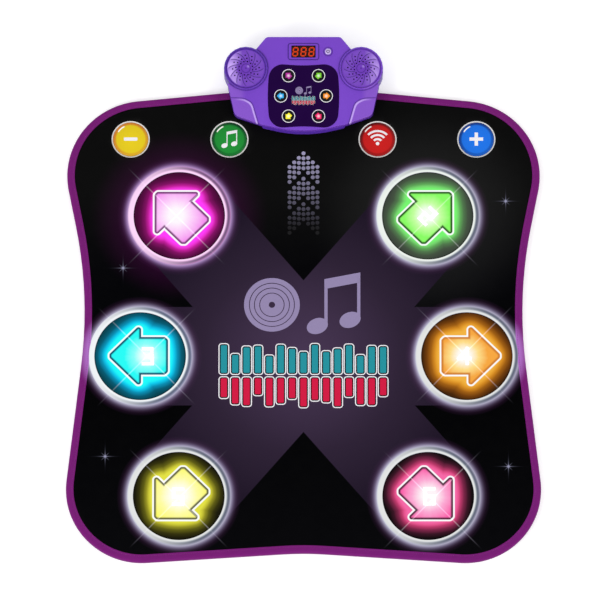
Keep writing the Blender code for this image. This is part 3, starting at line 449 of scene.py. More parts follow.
class Term:
    """A number, vector or colour in a shader, which adds and multiplies as a plain number does."""

    def __init__(self, tree, socket):
        self.tree, self.socket = tree, socket

    def maths(self, operation, *others):
        return made(self.tree, "Math", dict(enumerate((self, *others))), operation=operation)

    def vector(self, operation, other=None, scale=None):
        """A vector, or a number where the operation measures one."""
        output = "Value" if operation in ("LENGTH", "DISTANCE", "DOT_PRODUCT") else "Vector"
        return made(self.tree, "VectorMath", {0: self, 1: other, "Scale": scale}, output, operation=operation)

    __add__ = __radd__ = partialmethod(maths, "ADD")
    __sub__ = partialmethod(maths, "SUBTRACT")
    __rsub__ = partialmethod(maths, "MULTIPLY_ADD", -1.0)
    __mul__ = __rmul__ = partialmethod(maths, "MULTIPLY")
    __truediv__ = partialmethod(maths, "DIVIDE")
    abs = partialmethod(maths, "ABSOLUTE")
    min = partialmethod(maths, "MINIMUM")
    max = partialmethod(maths, "MAXIMUM")
    below = partialmethod(maths, "LESS_THAN")

    def clamped(self, greatest=1.0):
        return self.max(0.0).min(greatest)

    def ramp(self, start, end, gentle=True):
        """0 at start and before, 1 at end and past it."""
        kind = "SMOOTHSTEP" if gentle else "LINEAR"
        inputs = {"Value": self, "From Min": start, "From Max": end}
        return made(self.tree, "MapRange", inputs, interpolation_type=kind)

    def line(self, at, half, sharp):
        """1 where the value is within sharp of at, and 0 where it is more than half away."""
        return (self - at).abs().ramp(half, sharp)


def feed(tree, entry, value):
    if isinstance(value, Term):
        tree.links.new(value.socket, entry)
    elif isinstance(value, (tuple, list, Vector)):
        entry.default_value = (*value, 1.0)[:len(entry.default_value)]
    else:
        entry.default_value = value


def made(tree, kind, inputs, output=0, **settings):
    """What a new node gives. Its inputs are by name or number, and one that is None is left as it is."""
    node = tree.nodes.new("ShaderNode" + kind)
    for name, value in settings.items():
        setattr(node, name, value)
    for name, value in inputs.items():
        if value is not None:
            feed(tree, node.inputs[name], value)
    return Term(tree, node.outputs[output])


def ink(red, green, blue):
    """A colour as it is read off a screen, 0 to 255, in the linear numbers that a shader takes."""
    return tuple(c / 3294.6 if c <= 10.31 else ((c / 255 + 0.055) / 1.055) ** 2.4 for c in (red, green, blue))


def dimmed(colour, share):
    return tuple(c * share for c in colour)


def stops(*rows):
    """What bands needs, from rows of a value and the screen colour there: value, red, green, blue."""
    return [(at, ink(*screen)) for at, *screen in rows]


class Paint:
    """A material in the making: its tree, its shader and its piece's own coordinates in millimetres."""

    def __init__(self, name, roughness=0.5, specular=0.5, metallic=0.0, glow=0.0, **settings):
        self.material = bpy.data.materials.new(name)
        self.material.use_nodes = True
        self.tree = self.material.node_tree
        self.shader = self.tree.nodes["Principled BSDF"]
        self.set(Roughness=roughness, Specular_IOR_Level=specular, Metallic=metallic, Emission_Strength=glow)
        self.set(**settings)
        self.place = made(self.tree, "TexCoord", {}, "Object").vector("SCALE", scale=1 / MM)
        self.x, self.y, self.z = (made(self.tree, "SeparateXYZ", {0: self.place}, axis) for axis in "XYZ")

    def point(self, x, y, z=0.0):
        return made(self.tree, "CombineXYZ", {0: x, 1: y, 2: z})

    def distance(self, x, y):
        """The length of the line that goes x across and y along."""
        return self.point(x, y).vector("LENGTH")

    def mix(self, share, first, second, kind="MIX"):
        inputs = {"Factor": share, 6: first, 7: second}
        return made(self.tree, "Mix", inputs, 2, data_type="RGBA", blend_type=kind)

    def stack(self, first, second, share=1.0, kind="ADD"):
        return self.mix(share, first, second, kind)

    def bands(self, value, points):
        """A colour that changes along a value, through points of (value, colour)."""
        low, high = points[0][0], points[-1][0]
        node = self.tree.nodes.new("ShaderNodeValToRGB")
        feed(self.tree, node.inputs[0], (value - low) / (high - low))
        line = node.color_ramp
        while len(line.elements) < len(points):
            line.elements.new(0.5)
        for element, (at, colour) in zip(line.elements, points):
            element.position = (at - low) / (high - low)
            element.color = (*colour, 1)
        return Term(self.tree, node.outputs[0])

    def noise(self, scale, detail=3.0, along=(1, 1, 1)):
        """Soft noise around 0.5, scale lumps to the millimetre."""
        inputs = {"Vector": self.place.vector("MULTIPLY", along), "Scale": scale, "Detail": detail}
        return made(self.tree, "TexNoise", inputs)

    def cells(self, scale):
        return made(self.tree, "TexVoronoi", {"Vector": self.place, "Scale": scale}, "Distance")

    def wave(self, value, period):
        """0 to 1 and back over each period."""
        return (value * (FULL_TURN / period)).maths("SINE") * 0.5 + 0.5

    def bump(self, height, depth):
        """Raises the surface by a share of depth, in metres."""
        self.set(Normal=made(self.tree, "Bump", {"Height": height, "Distance": depth}))

    def set(self, **values):
        for name, value in values.items():
            feed(self.tree, self.shader.inputs[name.replace("_", " ")], value)
        return self.material

    def coloured(self, share, first, second):
        return self.set(Base_Color=self.mix(share, first, second))

    def glow(self, colour):
        return self.set(Emission_Color=colour)


# What the mat is made of

def flat_middle(node):
    """The middle of a node's box, at height 0."""
    low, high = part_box(node)
    return ((low + high) / 2).xy.to_3d()


PAD_CENTRES = {number: flat_middle(f"pad_ring_{number}") for number, _, _ in PADS}
RIGHT_PADS = (2, 4, 6)
# Round buttons: the screen colours of a cap and of the painted shade at its rim, and its slot
BUTTONS = {
    "volume_down": ((222, 196, 30), (196, 120, 40), "yellow_cap"),
    "mode": ((30, 138, 52), (14, 70, 34), "green_cap"),
    "wireless": ((194, 28, 27), (104, 14, 16), "red_cap"),
    "volume_up": ((29, 112, 224), (16, 56, 130), "blue_cap"),
}
BUTTON_CENTRES = {name: flat_middle(f"{name}_button") for name in BUTTONS}
# Where the printed beams start, and half their width, in millimetres
MIDDLE = (0.0, -61.6)
BEAM_HALF = 97.2
# Small glints on the cover, in millimetres
SPARKLES = ((-343.0, 112.8), (384.8, 245.5), (-376.2, -259.4), (388.6, -279.2))
BLACK, WHITE = (0.0, 0.0, 0.0), (1.0, 1.0, 1.0)
POD_SHADE = ink(78, 38, 156)
WHITE_LINE = ink(252, 254, 254)

# Screen colours of each lit pad: the arrow, the line of painted shade inside its outline, and the glow from
# the arrow out
PAD_INKS = {
    1: ((245, 146, 240), (104, 50, 104), (
        (255, 60, 250), (238, 52, 212), (193, 30, 154), (129, 16, 98), (90, 9, 68), (68, 6, 51))),
    2: ((137, 252, 101), (16, 52, 20), (
        (118, 246, 112), (118, 213, 110), (95, 167, 88), (80, 118, 76), (67, 82, 64), (60, 69, 59))),
    3: ((40, 252, 246), (14, 34, 88), (
        (30, 253, 253), (28, 243, 249), (12, 204, 240), (6, 143, 180), (3, 90, 113), (3, 68, 82))),
    4: ((247, 168, 66), (206, 124, 48), (
        (243, 180, 66), (232, 162, 48), (208, 134, 31), (158, 94, 18), (111, 60, 9), (68, 36, 6))),
    5: ((252, 250, 96), (72, 72, 62), (
        (228, 226, 68), (201, 197, 54), (149, 145, 35), (93, 91, 19), (51, 49, 9), (24, 23, 5))),
    6: ((250, 96, 170), (34, 26, 32), (
        (246, 105, 168), (232, 85, 143), (187, 57, 106), (123, 37, 71), (57, 19, 35), (16, 7, 10))),
}
# Screen colours of the small arrows on the console's panel
INDICATOR_INKS = {
    1: (170, 44, 148), 2: (116, 196, 44), 3: (44, 166, 226),
    4: (236, 140, 36), 5: (240, 230, 50), 6: (232, 36, 104),
}
INDICATOR_SCALE = 0.108
# Where the glow has each of its colours: how far outside the arrow, plus how far past GLOW_START from the
# glow's middle
GLOW_STOPS = (3, 12, 21, 33, 48, 63)
GLOW_START = 52.0
# Where the glow of pads 1 and 2 has its middle, in millimetres from the pad's own
GLOW_MIDDLES = {1: (5.0, -5.0), 2: (1.5, 1.5)}
# White-hot spot on each arrow: its place to the right of the middle and its radius, in millimetres, its
# strength, and the screen colour between it and the arrow
PAD_HEAT = {
    1: (-6, 54, 1.0, (253, 204, 251)),
    2: (-1, 43, 1.0, (196, 255, 160)),
    3: (12, 42, 0.9, (140, 255, 250)),
    4: (-5, 45, 1.0, (254, 222, 138)),
    5: (0, 58, 1.0, (255, 252, 166)),
    6: (1, 53, 1.0, (252, 170, 212)),
}
# Where each pad's two rays cross, in millimetres from its middle
PAD_RAYS = {1: (-5.4, -1.0), 2: (3.4, -3.8), 3: (13.0, -0.5), 4: (-5.0, 3.6), 5: (-0.2, -4.9), 6: (7.6, -7.3)}
RAY_SLOPE = 1.04
RAY_REACH = 138.0
# Figures on the pads, each drawn as one thick line: its middle, how far it is turned, and its points in steps
PAD_FIGURES = {
    2: ((0.2 * MM, -1.1 * MM), -45, ((-1, 2), (1, 2), (1, 0), (-1, 0), (-1, -2), (1, -2))),
    3: ((14.6 * MM, -0.8 * MM), 0, ((-1, 2), (0.9, 2), (0.9, 0.5), (-0.2, 0), (1, -0.5), (1, -2), (-1, -2))),
    4: ((-5.1 * MM, -0.4 * MM), 0, ((0.7, -2), (0.7, 2), (-1.2, -0.6), (1.3, -0.6))),
    5: ((-1.2 * MM, -2.1 * MM), 0, ((1, 2), (-1, 2), (-1, 0), (1, 0), (1, -2), (-1, -2))),
    6: ((2.1 * MM, -1.2 * MM), 0, ((1, 2), (-1, 2), (-1, -2), (1, -2), (1, 0), (-1, 0))),
}
FIGURE_STEP = (8.4 * MM, 7.4 * MM)
FIGURE_LINE = 6.4 * MM
# Rings that differ from the rest: the screen colours of the broad band and of its outer edge, and the tint of
# the crescent of painted shade
RING_INKS = {
    1: ((252, 212, 248), (206, 168, 210), (1.55, 0.65, 1.12)),
    2: ((234, 240, 234), (204, 210, 222), WHITE),
    3: ((238, 242, 244), (222, 220, 236), (0.95, 1.0, 1.1)),
}
PLAIN_RING = ((224, 226, 225), (190, 193, 212), WHITE)


def painted_rays(paint, number, x, y):
    """Two thin diagonal rays of painted light that cross near a pad's middle, strongest there."""
    across, along = x - PAD_RAYS[number][0], y - PAD_RAYS[number][1]
    off = (across.abs() * RAY_SLOPE - along.abs()).abs()
    return off.ramp(2.6, 0.3) * paint.distance(across, along).ramp(RAY_REACH, 40.0)


def sparkle(paint, x, y):
    """A small four-armed glint."""
    across, along = (paint.x - x).abs(), (paint.y - y).abs()
    level = (across * -0.2).maths("EXPONENT") * along.ramp(1.4, 0.1)
    upright = (along * -0.2).maths("EXPONENT") * across.ramp(1.4, 0.1)
    slanting = (across - along).abs().ramp(1.5, 0.1) * (across + along).ramp(17.0, 2.0)
    core = (across + along).ramp(5.0, 0.0)
    return level + upright + core * 0.6 + slanting * 0.35


def vinyl_colour(paint, spot):
    """Lilac beams from the middle to the pads, on black that is paler near pads 1 and 2 with painted light
    from them, and white rings.
    """
    ends = (PAD_CENTRES[number].xy / MM for number in RIGHT_PADS)
    beams = reduce(Term.min, (segment_distance(paint, spot, MIDDLE, end) for end in ends))
    lilac = paint.bands(spot.vector("DISTANCE", (*MIDDLE, 0)), stops(
        (0, 66, 50, 76), (90, 57, 43, 66), (190, 42, 31, 49), (300, 28, 19, 35), (440, 19, 13, 25),
    ))
    black = paint.bands(paint.y, stops(
        (-480, 4, 4, 6), (-150, 0, 0, 1), (100, 1, 1, 3), (260, 9, 9, 9), (480, 7, 7, 7),
    ))
    # Painted light from pads 1 and 2, added to the black round them
    for number, tint, start, end in ((2, (20, 20, 20), 230, 80), (1, (34, 2, 32), 175, 90)):
        near = paint.place.vector("DISTANCE", PAD_CENTRES[number] / MM)
        black = paint.stack(black, ink(*tint), near.ramp(start, end))
    colour = paint.mix(beams.ramp(BEAM_HALF + 0.6, BEAM_HALF - 0.6), black, lilac)
    middles = (BUTTON_CENTRES[name] / MM for name in ("wireless", "volume_up"))
    rims = reduce(Term.min, (spot.vector("DISTANCE", middle) for middle in middles))
    return paint.mix(rims.ramp(BUTTON_PRINT / MM + 0.4, BUTTON_PRINT / MM - 0.4), colour, ink(228, 226, 224))


def vinyl_light(paint, spot):
    """The halo round each pad, which is pink round pad 1, the rays across the pads, and glints."""
    near = reduce(Term.min, (spot.vector("DISTANCE", PAD_CENTRES[number] / MM) for number in RIGHT_PADS))
    halo = paint.bands(near, stops(
        (90, 176, 172, 194), (98.5, 172, 168, 190), (101, 134, 126, 152), (103.5, 98, 86, 112),
        (106, 68, 56, 78), (108.5, 45, 30, 50), (112, 22, 8, 24), (118, 0, 0, 0),
    ))
    pink = paint.place.vector("DISTANCE", PAD_CENTRES[1] / MM).ramp(125, 110)
    halo = paint.stack(halo, ink(255, 214, 255), pink, "MULTIPLY")
    rays = sum(painted_rays(paint, n, paint.x - c.x / MM, paint.y - c.y / MM) for n, c in PAD_CENTRES.items())
    glints = sum(sparkle(paint, x, y) for x, y in SPARKLES)
    return paint.stack(paint.stack(halo, ink(176, 170, 190), rays * 0.5), ink(150, 150, 178), glints)


def printed_vinyl():
    """Black vinyl with its print, and the painted light of halos, rays and glints glowing on it; the same on
    both halves but for a few tints.
    """
    paint = Paint("printed_vinyl", roughness=0.42, specular=0.03, glow=1.0)
    # The same place on the right half
    spot = paint.point(paint.x.abs(), paint.y)
    paint.bump(paint.noise(0.9, 3) * 0.6 + paint.noise(0.018, 1) * 2.5, 0.06 * MM)
    paint.set(Roughness=paint.noise(0.05, 2).ramp(0.2, 0.8) * 0.12 + 0.38)
    paint.set(Base_Color=vinyl_colour(paint, spot))
    return paint.glow(vinyl_light(paint, spot))


def woven_tape():
    """Purple twill, lit a little where it passes the side pads."""
    paint = Paint("woven_tape", roughness=0.75, specular=0.1, glow=1.0)
    ribs = paint.wave(paint.x + paint.y, 0.8) * paint.wave(paint.x - paint.y, 0.8)
    shade = ribs * 0.3 + paint.noise(0.03, 3) * 0.5 + 0.5
    paint.bump(ribs + paint.noise(1.5, 2), 0.12 * MM)
    paint.coloured(shade.ramp(1.25, 0.55) * 0.3, ink(117, 24, 113), ink(80, 13, 78))
    off = paint.point(paint.x.abs(), paint.y).vector("DISTANCE", PAD_CENTRES[4] / MM)
    return paint.glow(paint.mix(off.ramp(119, 98) * paint.z.ramp(9.5, 12.0), BLACK, ink(140, 108, 170)))


def thread():
    paint = Paint("sewing_thread", roughness=0.6, specular=0.3)
    twist = paint.wave(paint.x * 2 + paint.y * 2 + paint.z * 3, 0.5)
    paint.bump(twist, 0.08 * MM)
    return paint.coloured(twist, ink(96, 24, 94), ink(140, 46, 136))


def grip_cloth():
    paint = Paint("grip_cloth", roughness=0.85, specular=0.25)
    weave = paint.wave(paint.x, 1.1) * paint.wave(paint.y, 1.1)
    paint.bump(weave + paint.noise(0.6, 2), 0.15 * MM)
    return paint.coloured(weave * 0.6 + paint.noise(0.05, 3) * 0.4, ink(34, 33, 37), ink(62, 60, 66))


def moulded(name, colour, second=None, roughness=0.4, specular=0.5, grain=0.03):
    """Moulded plastic or rubber: fine grain, cloudy gloss, and a little unevenness of colour."""
    paint = Paint(name, roughness=roughness, specular=specular)
    cloud = paint.noise(0.03, 4)
    paint.bump(paint.noise(0.9, 3), grain * MM)
    paint.set(Roughness=cloud * 0.16 + (roughness - 0.08))
    return paint.coloured(cloud, colour, second or dimmed(colour, 0.82))


def foam():
    paint = Paint("open_foam", roughness=0.95, specular=0.1)
    pores = paint.cells(0.9)
    paint.bump(pores, 0.4 * MM)
    return paint.coloured(pores.ramp(0.1, 0.7), ink(150, 150, 156), ink(206, 206, 210))


def circuit_board():
    paint = Paint("circuit_board", roughness=0.35, specular=0.5)
    tracks = paint.wave(paint.x + paint.noise(0.03, 0) * 40, 2.4).ramp(0.6, 0.7)
    pads = paint.cells(0.25).ramp(0.35, 0.3) * tracks
    paint.bump(tracks, 0.04 * MM)
    return paint.coloured(pads, paint.mix(tracks, ink(14, 76, 40), ink(26, 110, 58)), ink(196, 196, 186))


def film():
    paint = Paint("contact_film", roughness=0.3, specular=0.5)
    tracks = paint.wave(paint.x + paint.noise(0.01, 0) * 90, 9.0).ramp(0.82, 0.86)
    paint.bump(tracks, 0.05 * MM)
    return paint.coloured(tracks, ink(206, 210, 204), ink(96, 98, 102))


def steel():
    """Brushed steel."""
    paint = Paint("steel", roughness=0.32, metallic=1.0)
    lines = paint.noise(1.6, 3, along=(0.1, 1, 1))
    paint.bump(lines, 0.02 * MM)
    return paint.coloured(lines, ink(178, 180, 184), dimmed(ink(178, 180, 184), 0.7))


def cell_jacket():
    paint = Paint("cell_jacket", roughness=0.3, specular=0.5)
    paint.bump(paint.noise(0.3, 2), 0.03 * MM)
    return paint.coloured(paint.x.abs().ramp(14.0, 14.3), ink(38, 40, 46), ink(184, 112, 52))


def speaker_cone():
    paint = Paint("speaker_cone", roughness=0.85, specular=0.2)
    fibres = paint.noise(1.2, 4)
    paint.bump(fibres, 0.2 * MM)
    return paint.coloured(fibres, ink(20, 20, 22), ink(44, 43, 46))


def printed(name, colour, glow=0.0):
    """Flat ink with the slight mottling of print, lit where it is part of a light."""
    paint = Paint(name, roughness=0.45, specular=0.2, glow=glow)
    mottle = paint.noise(0.5, 2)
    paint.bump(mottle, 0.01 * MM)
    tint = paint.mix(mottle, colour, dimmed(colour, 0.9))
    if glow:
        paint.glow(tint)
    return paint.set(Base_Color=tint)


def lit_sign(name, colour):
    """An indicator's arrow, printed in clear ink over a lamp that whitens its middle."""
    paint = Paint(name, roughness=0.45, specular=0.1, glow=0.6)
    mottle = paint.noise(0.5, 2)
    tint = paint.mix(mottle * 0.2, colour, dimmed(colour, 0.8))
    tint = paint.mix(paint.distance(paint.x, paint.y).ramp(4.4, 0.6) * 0.5, tint, WHITE)
    paint.bump(mottle, 0.01 * MM)
    paint.coloured(0.5, tint, BLACK)
    return paint.glow(tint)


def purple_plastic(name, colour, high):
    """The console's moulding, fine-grained and slightly glossy: its paint so far and its colour."""
    paint = Paint(name, roughness=0.38, specular=0.3)
    cloud, grain = paint.noise(0.02, 4), paint.noise(2.2, 2)
    paint.bump(grain + cloud * 2, 0.02 * MM)
    paint.set(Roughness=cloud * 0.18 + 0.3)
    return paint, paint.mix(cloud * 0.5 + grain * 0.15, colour, high)


# Materials of the lit pads

def segment_distance(paint, point, start, end):
    """Millimetres from a point to the line between two places."""
    run = Vector((*end, 0)) - Vector((*start, 0))
    offset = point.vector("SUBTRACT", (*start, 0))
    share = offset.vector("DOT_PRODUCT", run / run.length_squared).clamped()
    return offset.vector("DISTANCE", paint.point(*run).vector("SCALE", scale=share))


def arrow_distance(paint, along, across):
    """Millimetres outside the arrow's outline, below 0 inside it, from a smaller arrow with cut corners."""
    inset = ARROW_CORNERS[1][2]
    core = [[value / MM for value in corner] for corner in inset_corners(ARROW_CORNERS, inset)]
    tip, back, notch, tail = core[:4]
    nose, cut = tip[0] - tip[2] * (math.sqrt(2) - 1), tail[2] * (2 - math.sqrt(2))
    outline = [
        (nose, 0.0), (nose, tip[0] - nose), back[:2], notch[:2],
        (tail[0] + cut, tail[1]), (tail[0], tail[1] - cut), (tail[0], 0.0),
    ]
    width = across.abs()
    point = paint.point(along, width)
    nearest = reduce(Term.min, (segment_distance(paint, point, *ends) for ends in zip(outline, outline[1:])))
    head = (along + width).below(tip[0]) * (along * -1.0).below(-back[0]) * along.below(nose)
    shaft = width.below(notch[1]) * (along * -1.0).below(-tail[0]) * along.below(notch[0] + 0.01)
    shaft = shaft * (width - along).below(tail[1] - tail[0] - cut)
    return nearest * (1.0 - head.max(shaft) * 2.0) - inset / MM


def glass_finish(paint, dark, pale):
    """The surface of a lit part, nearly black so that its own light shows."""
    paint.bump(paint.noise(0.6, 2), 0.01 * MM)
    paint.coloured(paint.noise(0.1, 2), dark, pale)


def lit_window(number, degrees, shift):
    """Clear plastic over lamps: a white-hot arrow with a pale outline and painted shade inside it, a glow
    round it, painted rays and a tinted disc with painted shade at its rim.
    """
    hot, line, glow = PAD_INKS[number]
    aside, reach, strength, warm = PAD_HEAT[number]
    warm = ink(*warm)
    paint = Paint(f"pad_window_{number}", roughness=0.22, specular=0.02, glow=1.0)
    c, s = math.cos(math.radians(degrees)), math.sin(math.radians(degrees))
    off = arrow_distance(paint, paint.x * c + paint.y * s - shift / MM, paint.y * c - paint.x * s)
    turn = paint.y.maths("ARCTAN2", paint.x)
    rays = (turn * 9.0).maths("SINE") * 0.02 + (turn * 23.0 + 1.0).maths("SINE") * 0.015 + 1.0
    near = paint.distance(paint.x - aside, paint.y) * rays
    heat = near.ramp(reach, reach * 0.12, gentle=False) * strength
    fill = paint.bands(heat, [(0, ink(*hot)), (0.45, warm), (0.85, [0.86 + 0.14 * c for c in warm])])
    rim = -ARROW_RIM / MM
    groove = rim - ARROW_SHADE_LINE / MM
    # Painted shade: a dark line just inside the arrow's white outline
    dark = off.ramp(groove - 1.8, groove + 1.8) * off.ramp(rim + 0.6, rim - 0.6)
    fill = paint.mix(dark * 0.93, fill, ink(*line))
    middle = GLOW_MIDDLES.get(number, (0.0, 0.0))
    spread = paint.distance(paint.x - middle[0], paint.y - middle[1])
    outer = paint.bands(off + (spread - GLOW_START), [(at, ink(*c)) for at, c in zip(GLOW_STOPS, glow)])
    colour = paint.mix(off.ramp(0.5, -0.5), outer, fill)
    colour = paint.mix(off.ramp(rim - 0.6, rim + 0.6) * off.ramp(0.5, -0.7), colour, WHITE_LINE)
    colour = paint.stack(colour, ink(180, 178, 182), painted_rays(paint, number, paint.x, paint.y) * 0.5)
    # Painted shade: the disc darkens towards its rim
    edge = paint.distance(paint.x, paint.y).ramp(WINDOW_RADIUS / MM - 3.4, WINDOW_RADIUS / MM + 0.2)
    glass_finish(paint, (0.0008, 0.0008, 0.001), (0.0018, 0.0018, 0.002))
    return paint.glow(paint.mix(edge * 0.55, colour, BLACK))


def lit_ring(number):
    """The diffuser round a pad, with painted light and shade: a broad bright band on its left that thins to a
    line on its right, by a grey crescent of painted shade.
    """
    paint = Paint(f"pad_ring_{number}", roughness=0.3, specular=0.05, glow=1.0)
    far = paint.distance(paint.x, paint.y)
    # Painted light and shade: the band is broad and bright on the ring's left, thin on its right
    left = (paint.x / far * -0.6 + 0.29).ramp(-0.05, 0.95)
    white, edge, tint = RING_INKS.get(number, PLAIN_RING)
    inner = (85, 180, 182, 182)
    bright = paint.bands(far, stops(inner, (87.4, *white), (95.5, *white), (98, *edge), (101, 148, 146, 172)))
    line = [c / share for c, share in zip(ink(*white), tint)]
    shade_crescent = stops(
        (91.8, 138, 146, 158), (93.6, 82, 88, 106), (95.5, 98, 102, 122), (98, 150, 148, 172),
        (101, 150, 142, 166),
    )
    thin = paint.bands(far, [*stops(inner), (87.4, line), (89.6, line), *shade_crescent])
    colour = paint.mix(left, paint.stack(thin, tint, 1.0, "MULTIPLY"), bright)
    colour = paint.stack(colour, ink(150, 150, 152), painted_rays(paint, number, paint.x, paint.y) * 0.4)
    glass_finish(paint, (0.02, 0.02, 0.022), (0.03, 0.03, 0.032))
    return paint.glow(colour)


def domed_cap(name, colour, rim):
    """A button's cap: darker towards its rim and its upper left with painted shade, and a soft glint painted
    near its upper left.
    """
    paint = Paint(name, roughness=0.3, specular=0.12)
    far = paint.distance(paint.x, paint.y)
    # Painted shade: the cap darkens towards its rim and on its upper left
    upper = (paint.y * 0.7 - paint.x * 0.4) * 0.012
    inner = paint.mix((far / 40.0 + upper).min(1.0), colour, dimmed(colour, 0.86))
    tint = paint.mix(far.ramp(26.2, 30.4) * (0.82 + upper), inner, rim)
    spot = paint.distance(paint.x + 18.5, paint.y - 20.5).ramp(9.5, 6.5)
    paint.bump(paint.noise(0.8, 2), 0.01 * MM)
    return paint.coloured(far.line(27.6, 1.7, 0.5) * spot, tint, ink(248, 246, 240))


# The mat's soft layers

def mat_loop(inset):
    return rounded_polygon(symmetric(MAT_CORNERS), math.radians(2), inset)


def cover_height(edge):
    """The cover lies flat, and is drawn down a little where the binding grips it."""
    return MAT_TOP - CLOTH / 2 - 0.25 * MM * (1 - min(max((edge - 9 * MM) / (22 * MM), 0), 1)) ** 2


def make_cover(materials):
    pad_holes = [circle(WINDOW_HOLE, centre) for centre in PAD_CENTRES.values()]
    cap_holes = [circle(BUTTON_HOLE, centre, 48) for centre in BUTTON_CENTRES.values()]
    tail_slot = rounded_box(*TAIL_SLOT, 0.5 * MM, flat_middle("ribbon_tail"))
    screw_holes = [circle(SCREW_HOLE, (x, SCREW_Y), 16) for x in (-SCREW_X, SCREW_X)]
    holes = [*pad_holes, *cap_holes, tail_slot, *screw_holes]
    outline = [tuple(p) for p, _ in spaced(mat_loop(SHEET_INSET), 6 * MM)]
    mesh = sheet_mesh("printed_cover", outline, holes, 14 * MM, cover_height)
    vinyl = materials["print"]
    cover = new_piece("printed_cover", mesh, "mat", vinyl, replaces=["top_sheet"])
    thickened(cover, CLOTH)


def make_binding(materials):
    """The tape is folded round the edge: soft at its folds, and nipped where it is sewn through."""
    top, fold = BINDING_TOP, 4.2 * MM
    quarter = [FULL_TURN / 4 * k / 6 for k in range(7)]
    outer = [(TAPE_INSET, 0.05 * MM), (8 * MM, 0.0)]
    outer += [(fold * (1 - math.sin(t)), fold * (1 - math.cos(t))) for t in quarter]
    outer += [(fold * (1 - math.cos(t)), top - fold * (1 - math.sin(t))) for t in quarter]
    outer += [(7 * MM, top - 0.02 * MM)]
    outer += [(SEAM_INSET + x * MM, top - drop * MM) for x, drop in ((-1, 0.12), (0, 0.3), (1, 0.15))]
    outer += [(TAPE_INSET, top - 0.2 * MM)]
    lower = [(CLOTH, top / 2), (1.6 * MM, 2.6 * MM), (4.5 * MM, CLOTH), (TAPE_INSET, CLOTH)]
    upper = [(inset, top - height) for inset, height in lower[:0:-1]]
    path = spaced(mat_loop(0.0), 3 * MM)

    def pucker(k, inset, height):
        near = max(0.0, 1 - abs(inset - SEAM_INSET) / (3 * MM))
        return 0.1 * MM * near * math.sin(k * 2.1) * (1 if height > top / 2 else 0)

    mesh = swept("binding_tape", outer + upper + lower, path, pucker)
    twill = materials["tape"]
    tape = new_piece("binding_tape", mesh, "mat", twill, replaces=["edge_binding"])
    stitches = make_stitches(materials, path)


STITCH_STEP = 1.1 * MM
# The four rings of points along a stitch: radius, and depth below the tape's top
STITCH = ((0.2 * MM, 0.55 * MM), (0.42 * MM, 0.25 * MM), (0.42 * MM, 0.25 * MM), (0.2 * MM, 0.55 * MM))


def make_stitches(materials, path):
    """Running stitches along the tape, each a short rounded thread that dips in at both ends."""
    fine = spaced([p for p, _ in path], STITCH_STEP)
    threads = []
    for start in range(0, len(fine) // 4 * 4, 4):
        rings = []
        for (point, inward), (radius, depth) in zip(fine[start:start + 4], STITCH):
            middle, height = point + inward * SEAM_INSET, BINDING_TOP - depth
            rings.append([(*(middle + inward * x), height + z) for x, z in circle(radius, steps=6)])
        threads.append(rings)
    mesh = skinned("tape_stitches", threads)
    return new_piece("tape_stitches", mesh, "mat", materials["thread"])


GRIP_PITCH = 15 * MM
# The rings of points of a grip dot: radius and height
GRIP_DOT = ((2.2 * MM, 0.3 * MM), (1.7 * MM, 0.08 * MM), (0.9 * MM, 0.0))


def make_grip(materials):
    """The underside: cloth with rows of small rubber dots moulded on it, round the clamp bar."""
    outline = [tuple(p) for p, _ in spaced(mat_loop(GRIP_INSET), 8 * MM)]
    low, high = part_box("clamp_plate")
    middle = flat_middle("clamp_plate")
    clamp, clear = (
        rounded_box(high.x - low.x + gap, high.y - low.y + gap, radius, middle)
        for gap, radius in ((2 * MM, 6 * MM), (14 * MM, 9 * MM))
    )
    mesh = sheet_mesh("grip_sheet", outline, [clamp], 20 * MM, lambda edge: 0.55 * MM)
    cloth = materials["grip"]
    sheet = new_piece("grip_sheet", mesh, "mat", cloth, replaces=["base_sheet"])
    thickened(sheet, 0.5 * MM)
    inner = [tuple(p) for p, _ in spaced(mat_loop(GRIP_INSET + 6 * MM), 20 * MM)]
    dots = []
    for j in range(-36, 37):
        for i in range(-31, 32):
            spot = ((i + 0.5 * (j % 2)) * GRIP_PITCH, j * GRIP_PITCH * 0.87)
            if inside_loop(*spot, inner) and not inside_loop(*spot, clear):
                dots.append([[(*p, z) for p in circle(radius, spot, 8)] for radius, z in GRIP_DOT])
    dots = new_piece("grip_dots", skinned("grip_dots", dots), "mat", materials["rubber"])


def make_foams(materials):
    for node, name in (
        ("lower_foam", "lower_foam_slab"), ("spacer_sheet", "spacer_slab"), ("upper_foam", "upper_foam_slab"),
    ):
        finer(node, name, materials["foam"], 0.3 * MM)
    for number in PAD_CENTRES:
        finer(f"pad_plunger_{number}", f"pad_spring_foam_{number}", materials["foam"])


# Pads, rings and buttons

def figure_loops(number):
    """A pad's figure as overlapping bars, each reaching half its thickness beyond its two points."""
    middle, degrees, points = PAD_FIGURES[number]
    corners = [Vector((x * FIGURE_STEP[0], y * FIGURE_STEP[1])) for x, y in points]
    loops = []
    for start, end in zip(corners, corners[1:]):
        ahead = (end - start).normalized() * FIGURE_LINE / 2
        aside = left_of(ahead)
        bar = [start - ahead - aside, end + ahead - aside, end + ahead + aside, start - ahead + aside]
        loops.append(turned(bar, degrees, middle))
    return loops


def shouldered(radius, top, width, drop, corner):
    """A disc's profile: flat, falling off over the outer width, and down over the points of its corner."""
    points = [(0, top)] + [(radius - width * (1 - k / 6), top - drop * (k / 6) ** 2) for k in range(6)]
    return points + [(radius - inset * MM, top - down * MM) for inset, down in corner]


def ring_profile():
    """The rounded section of a pad's ring, from its outer edge to its hole."""
    inner = ((0, 0.3), (0, 1.5), (0.9, 1.8), (2.5, 1.9), (5.5, 1.9))
    outer = ((3, 1.75), (1.2, 1.3), (0.1, 0.5), (0, 0.3))
    section = [(WINDOW_HOLE + x * MM, MAT_TOP + z * MM) for x, z in inner]
    section += [(RING_OUTER - x * MM, MAT_TOP + z * MM) for x, z in outer]
    return section[::-1]


